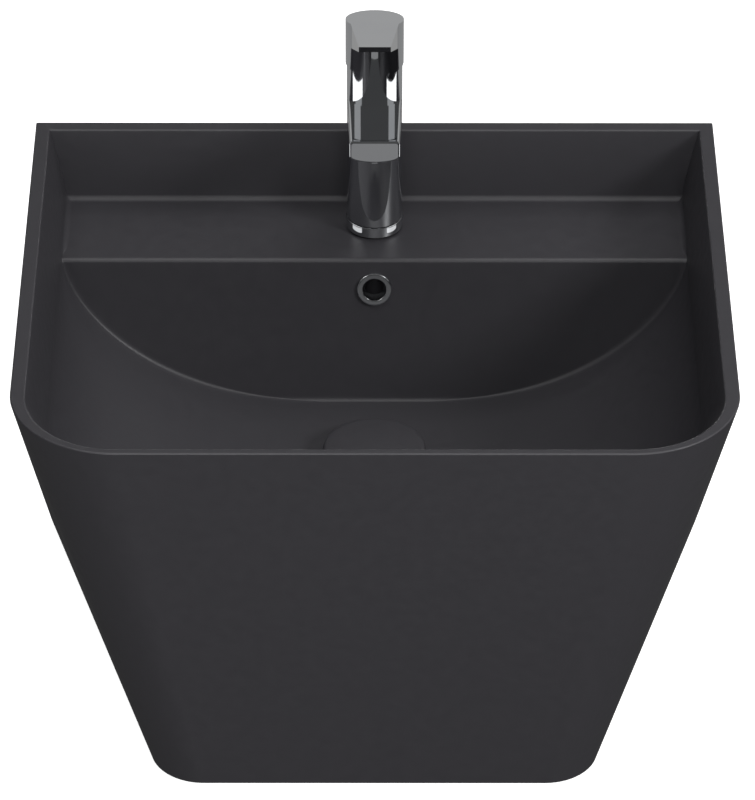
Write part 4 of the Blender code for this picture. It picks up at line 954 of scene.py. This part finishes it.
# %% Pieces grown from the trees
def grown(name, tree, like, place, axis=UP, **sizes):
    """What the tree makes with these sizes, as a plain piece. Its finish and body are those of like."""
    thing = bpy.data.objects.new(name, bpy.data.meshes.new(name))
    bpy.context.scene.collection.objects.link(thing)
    modifier = thing.modifiers.new(tree.name, "NODES")
    modifier.node_group = tree
    values = dict(sizes, Finish=FINISH_OF_SLOT[slots[like]])
    for socket in tree.interface.items_tree:
        if socket.in_out == "INPUT":
            modifier[socket.identifier] = values[socket.name]
    mesh = settle(thing)
    bpy.data.objects.remove(thing)
    mesh.transform(Matrix.Translation(place) @ UP.rotation_difference(axis).to_matrix().to_4x4())
    return piece(name, mesh, FINISH_OF_SLOT[slots[like]], None, body=body_of(like))


RIB_PROUD, RIB_WIDE, RIB_ENDS = 1.2 * MM, 1.6 * MM, 1.6 * MM
CUP_RIBS_UP, CUP_RIBS_LESS = 3 * MM, 10 * MM    # the cup's ribs sit high, short of its foot
for node, axis in (("trap_nut", UP), ("trap_collar_nut", UP), ("trap_outlet_nut", BACK), ("trap_cup", UP)):
    low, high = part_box(node)
    cup = node == "trap_cup"
    middle = (low + high) / 2 + UP * (CUP_RIBS_UP if cup else 0)
    length = (high - low).dot(axis) - (CUP_RIBS_LESS if cup else 0)
    grown(node + "_ribs", RIBS, node, middle, axis, Count=32 if cup else 24, Radius=(high.x - low.x) / 2,
          Proud=RIB_PROUD, Wide=RIB_WIDE, Long=length - 2 * RIB_ENDS)

M10_PITCH, M8_PITCH = 1.5 * MM, 1.25 * MM
WALL_THREAD, FIXING_THREAD = 24 * MM, 16 * MM
THREAD_DEEP, THREAD_SUNK = 0.35 * MM, 0.1 * MM
for node, start, length, axis, pitch in (
        ("wall_stud_left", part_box("wall_stud_left")[0].y, WALL_THREAD, BACK, M10_PITCH),
        ("wall_stud_right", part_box("wall_stud_right")[0].y, WALL_THREAD, BACK, M10_PITCH),
        ("fixing_stud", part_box("fixing_stud")[0].z, FIXING_THREAD, UP, M8_PITCH)):
    middle = middle_of(node)
    low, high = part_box(node)
    place = Vector((middle.x, start, middle.z)) if axis == BACK else Vector((middle.x, middle.y, start))
    grown(node + "_thread", THREAD, node, place + axis * pitch / 2, axis, Turns=(length - pitch) / pitch,
          Radius=(high.x - low.x) / 2 - THREAD_SUNK, Long=length - pitch, Depth=THREAD_DEEP)

cells_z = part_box("aerator_insert")[0].z - 0.2 * MM
grown("aerator_cells", CELLS, "aerator_insert", Vector((0, middle_of("aerator_insert").y, cells_z)), UP,
      Rows=13, Spread=16.8 * MM, Radius=8.2 * MM, Cell=0.55 * MM, High=0.8 * MM)
print("grown:", RIBS.name, "/", THREAD.name, "/", CELLS.name)

# %% [markdown]
# ## The click spring
#
# In the real waste, the spring under the cap stays on its seat while its top goes down with the cap. Here it
# is a machined copy of its node, without broken edges, given a mesh of its own.
# Nothing flattens it when the cap travels.

# %% The click spring
spring = machined("click_spring", 0)
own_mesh(spring)


# %% [markdown]
# ## Camera and light
#
# The view is from in front and above with a long lens, so the sides barely converge. Matt ceramic wants
# broad, soft light, while chrome would only mirror each lamp as a bright patch, so the two are lit apart. The
# lamps below light everything but the chrome: a small box from the right and in front casts the tap's shadow,
# and broad boxes above, in front and behind fill in the rest. The floor glows like a lit studio sweep, but
# throws no light on the pieces.

# %% Camera
camera_data = bpy.data.cameras.new("camera")
camera = bpy.data.objects.new("camera", camera_data)
bpy.context.scene.collection.objects.link(camera)
camera_data.lens = 245.5
camera_data.sensor_width = 36
camera_data.clip_end = 60
PITCH, YAW, ROLL = math.radians(33.939), math.radians(-0.152), math.radians(0.115)
camera.location = (-0.00714, -3.56755, 2.68405)
turn = (Matrix.Rotation(YAW, 4, "Z") @ Matrix.Rotation(math.pi / 2 - PITCH, 4, "X")
        @ Matrix.Rotation(ROLL, 4, "Z"))
camera.rotation_euler = turn.to_euler()
bpy.context.scene.camera = camera


# %% Floor, surroundings and lamps
chrome_pieces = bpy.data.collections.new("chrome_pieces")
other_pieces = bpy.data.collections.new("other_pieces")
for thing in bpy.context.scene.objects:
    if thing.type == "MESH":
        shiny = any(slot.material is chrome for slot in thing.material_slots)
        (chrome_pieces if shiny else other_pieces).objects.link(thing)


def area_light(name, place, target, size, power, receivers=other_pieces):
    """A rectangular soft box that faces its target and lights one collection of pieces."""
    data = bpy.data.lights.new(name, "AREA")
    data.shape = "RECTANGLE"
    data.size, data.size_y = size
    data.energy = power
    lamp = bpy.data.objects.new(name, data)
    bpy.context.scene.collection.objects.link(lamp)
    lamp.location = place
    lamp.rotation_euler = (Vector(target) - Vector(place)).to_track_quat("-Z", "Y").to_euler()
    lamp.visible_camera = False
    lamp.light_linking.receiver_collection = receivers


floor_mesh = box("floor", (-9, -9, -0.02), (9, 9, -0.0005))
floor = bpy.data.objects.new("floor", floor_mesh)
bpy.context.scene.collection.objects.link(floor)
other_pieces.objects.link(floor)
paper = bpy.data.materials.new("white_paper_sweep")
paper.use_nodes = True
paper_shader = paper.node_tree.nodes["Principled BSDF"]
paper_shader.inputs["Base Color"].default_value = linear("#F4F4F4")
paper_shader.inputs["Roughness"].default_value = 0.9
paper_shader.inputs["Emission Color"].default_value = (1, 1, 1, 1)
paper_shader.inputs["Emission Strength"].default_value = 0.9
floor_mesh.materials.append(paper)
floor.visible_glossy = False
floor.visible_diffuse = False

world = bpy.data.worlds.new("studio")
bpy.context.scene.world = world
world.use_nodes = True
sky = world.node_tree.nodes["Background"]
sky.inputs["Color"].default_value = linear("#FFFFFF")
sky.inputs["Strength"].default_value = 0.086
# the studio's far wall is as pale as its floor to look at, but throws no more light than the dim sky
far_wall = add_node(world.node_tree, "ShaderNodeBackground", Color=linear("#F6F6F6"), Strength=1.0)
rays = add_node(world.node_tree, "ShaderNodeLightPath")
seen = add_node(world.node_tree, "ShaderNodeMixShader",
                [(rays.outputs["Is Camera Ray"], "Fac"), (sky.outputs["Background"], 1),
                 (far_wall.outputs["Background"], 2)])
world.node_tree.links.new(seen.outputs["Shader"], world.node_tree.nodes["World Output"].inputs["Surface"])
bpy.context.scene.view_settings.view_transform = "Standard"
BASIN_MIDDLE = (0, 0, 0.3)
area_light("overhead_box", (0, 0, 3.2), BASIN_MIDDLE, (3, 3), 46)
area_light("key_box", (2.6, -1.8, 2.4), BASIN_MIDDLE, (0.9, 0.9), 55)
area_light("front_box", (0, -3.2, 2.6), BASIN_MIDDLE, (2.5, 2.0), 26)
area_light("back_box", (2.2, 1.8, 2.6), BASIN_MIDDLE, (2, 2), 15.5)
area_light("low_front_box", (0, -3.4, 0.5), BASIN_MIDDLE, (2.5, 1.0), 51)
area_light("rear_low_box", (0, 3.2, 0.3), BASIN_MIDDLE, (2.5, 0.5), 25)

# %% [markdown]
# ## Reflections for the chrome
#
# Chrome has no tone of its own: it shows what stands around it. A studio sets white cards beside and behind a
# tap so that its edges read, and shields the rest of the set from them. Light linking does the same here, so
# these cards brighten the chrome and leave the ceramic alone. The overflow ring sits apart from the tap, so
# it has three small cards of its own, which the column can't mirror.

# %% Cards that only the chrome sees
def card(name, place, target, size, brightness, receivers=chrome_pieces):
    """A card of that brightness: an even white card lights pi times its area for each unit of it."""
    power = brightness * math.pi * size[0] * size[1]
    area_light(name, place, target, size, power, receivers)


column_eye = Vector((0, TAP.y, DECK_Z + 0.09))
for side in (-1, 1):
    near = Vector((side * 0.104, TAP.y - 0.037, DECK_Z + 0.068))
    card(f"near_card_{side}", near, (0, TAP.y, near.z), (0.096, 0.046), 1.6)
    card(f"far_card_{side}", (side * 2.4, -0.4, 1.2), column_eye, (1.4, 2.0), 0.4)
card("back_card", (0, 3.0, 1.5), column_eye, (4.5, 2.4), 0.33)
card("floor_card", (0, 1.2, 0.01), (0, 1.2, 1), (3, 1.6), 0.22)
ring_eye = Vector((0, TAP.y, DECK_Z + 2.8 * MM))
away = math.radians(48)
ring_only = bpy.data.collections.new("overflow_ring_only")
ring_only.objects.link(bpy.data.objects["overflow_ring_turned"])
for side in (-1, 1):
    spot = ring_eye + 29 * MM * Vector((side * math.sin(away), -math.cos(away), 0))
    card(f"ring_card_{side}", spot, ring_eye, (0.016, 0.0045), 0.8)
    glint = OVERFLOW + Vector((side * 0.10, -0.10, 0.12))
    card(f"overflow_card_{side}", glint, OVERFLOW, (0.06, 0.06), 2.0, ring_only)
card("bowl_card", OVERFLOW + Vector((0, -0.14, -0.03)), OVERFLOW, (0.10, 0.03), 0.07, ring_only)
face = Vector((0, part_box("tap_body")[0].y, SPOUT_TOP))
card("spout_card", face + Vector((0, -0.083, -0.056)), face, (0.08, 0.05), 0.25)
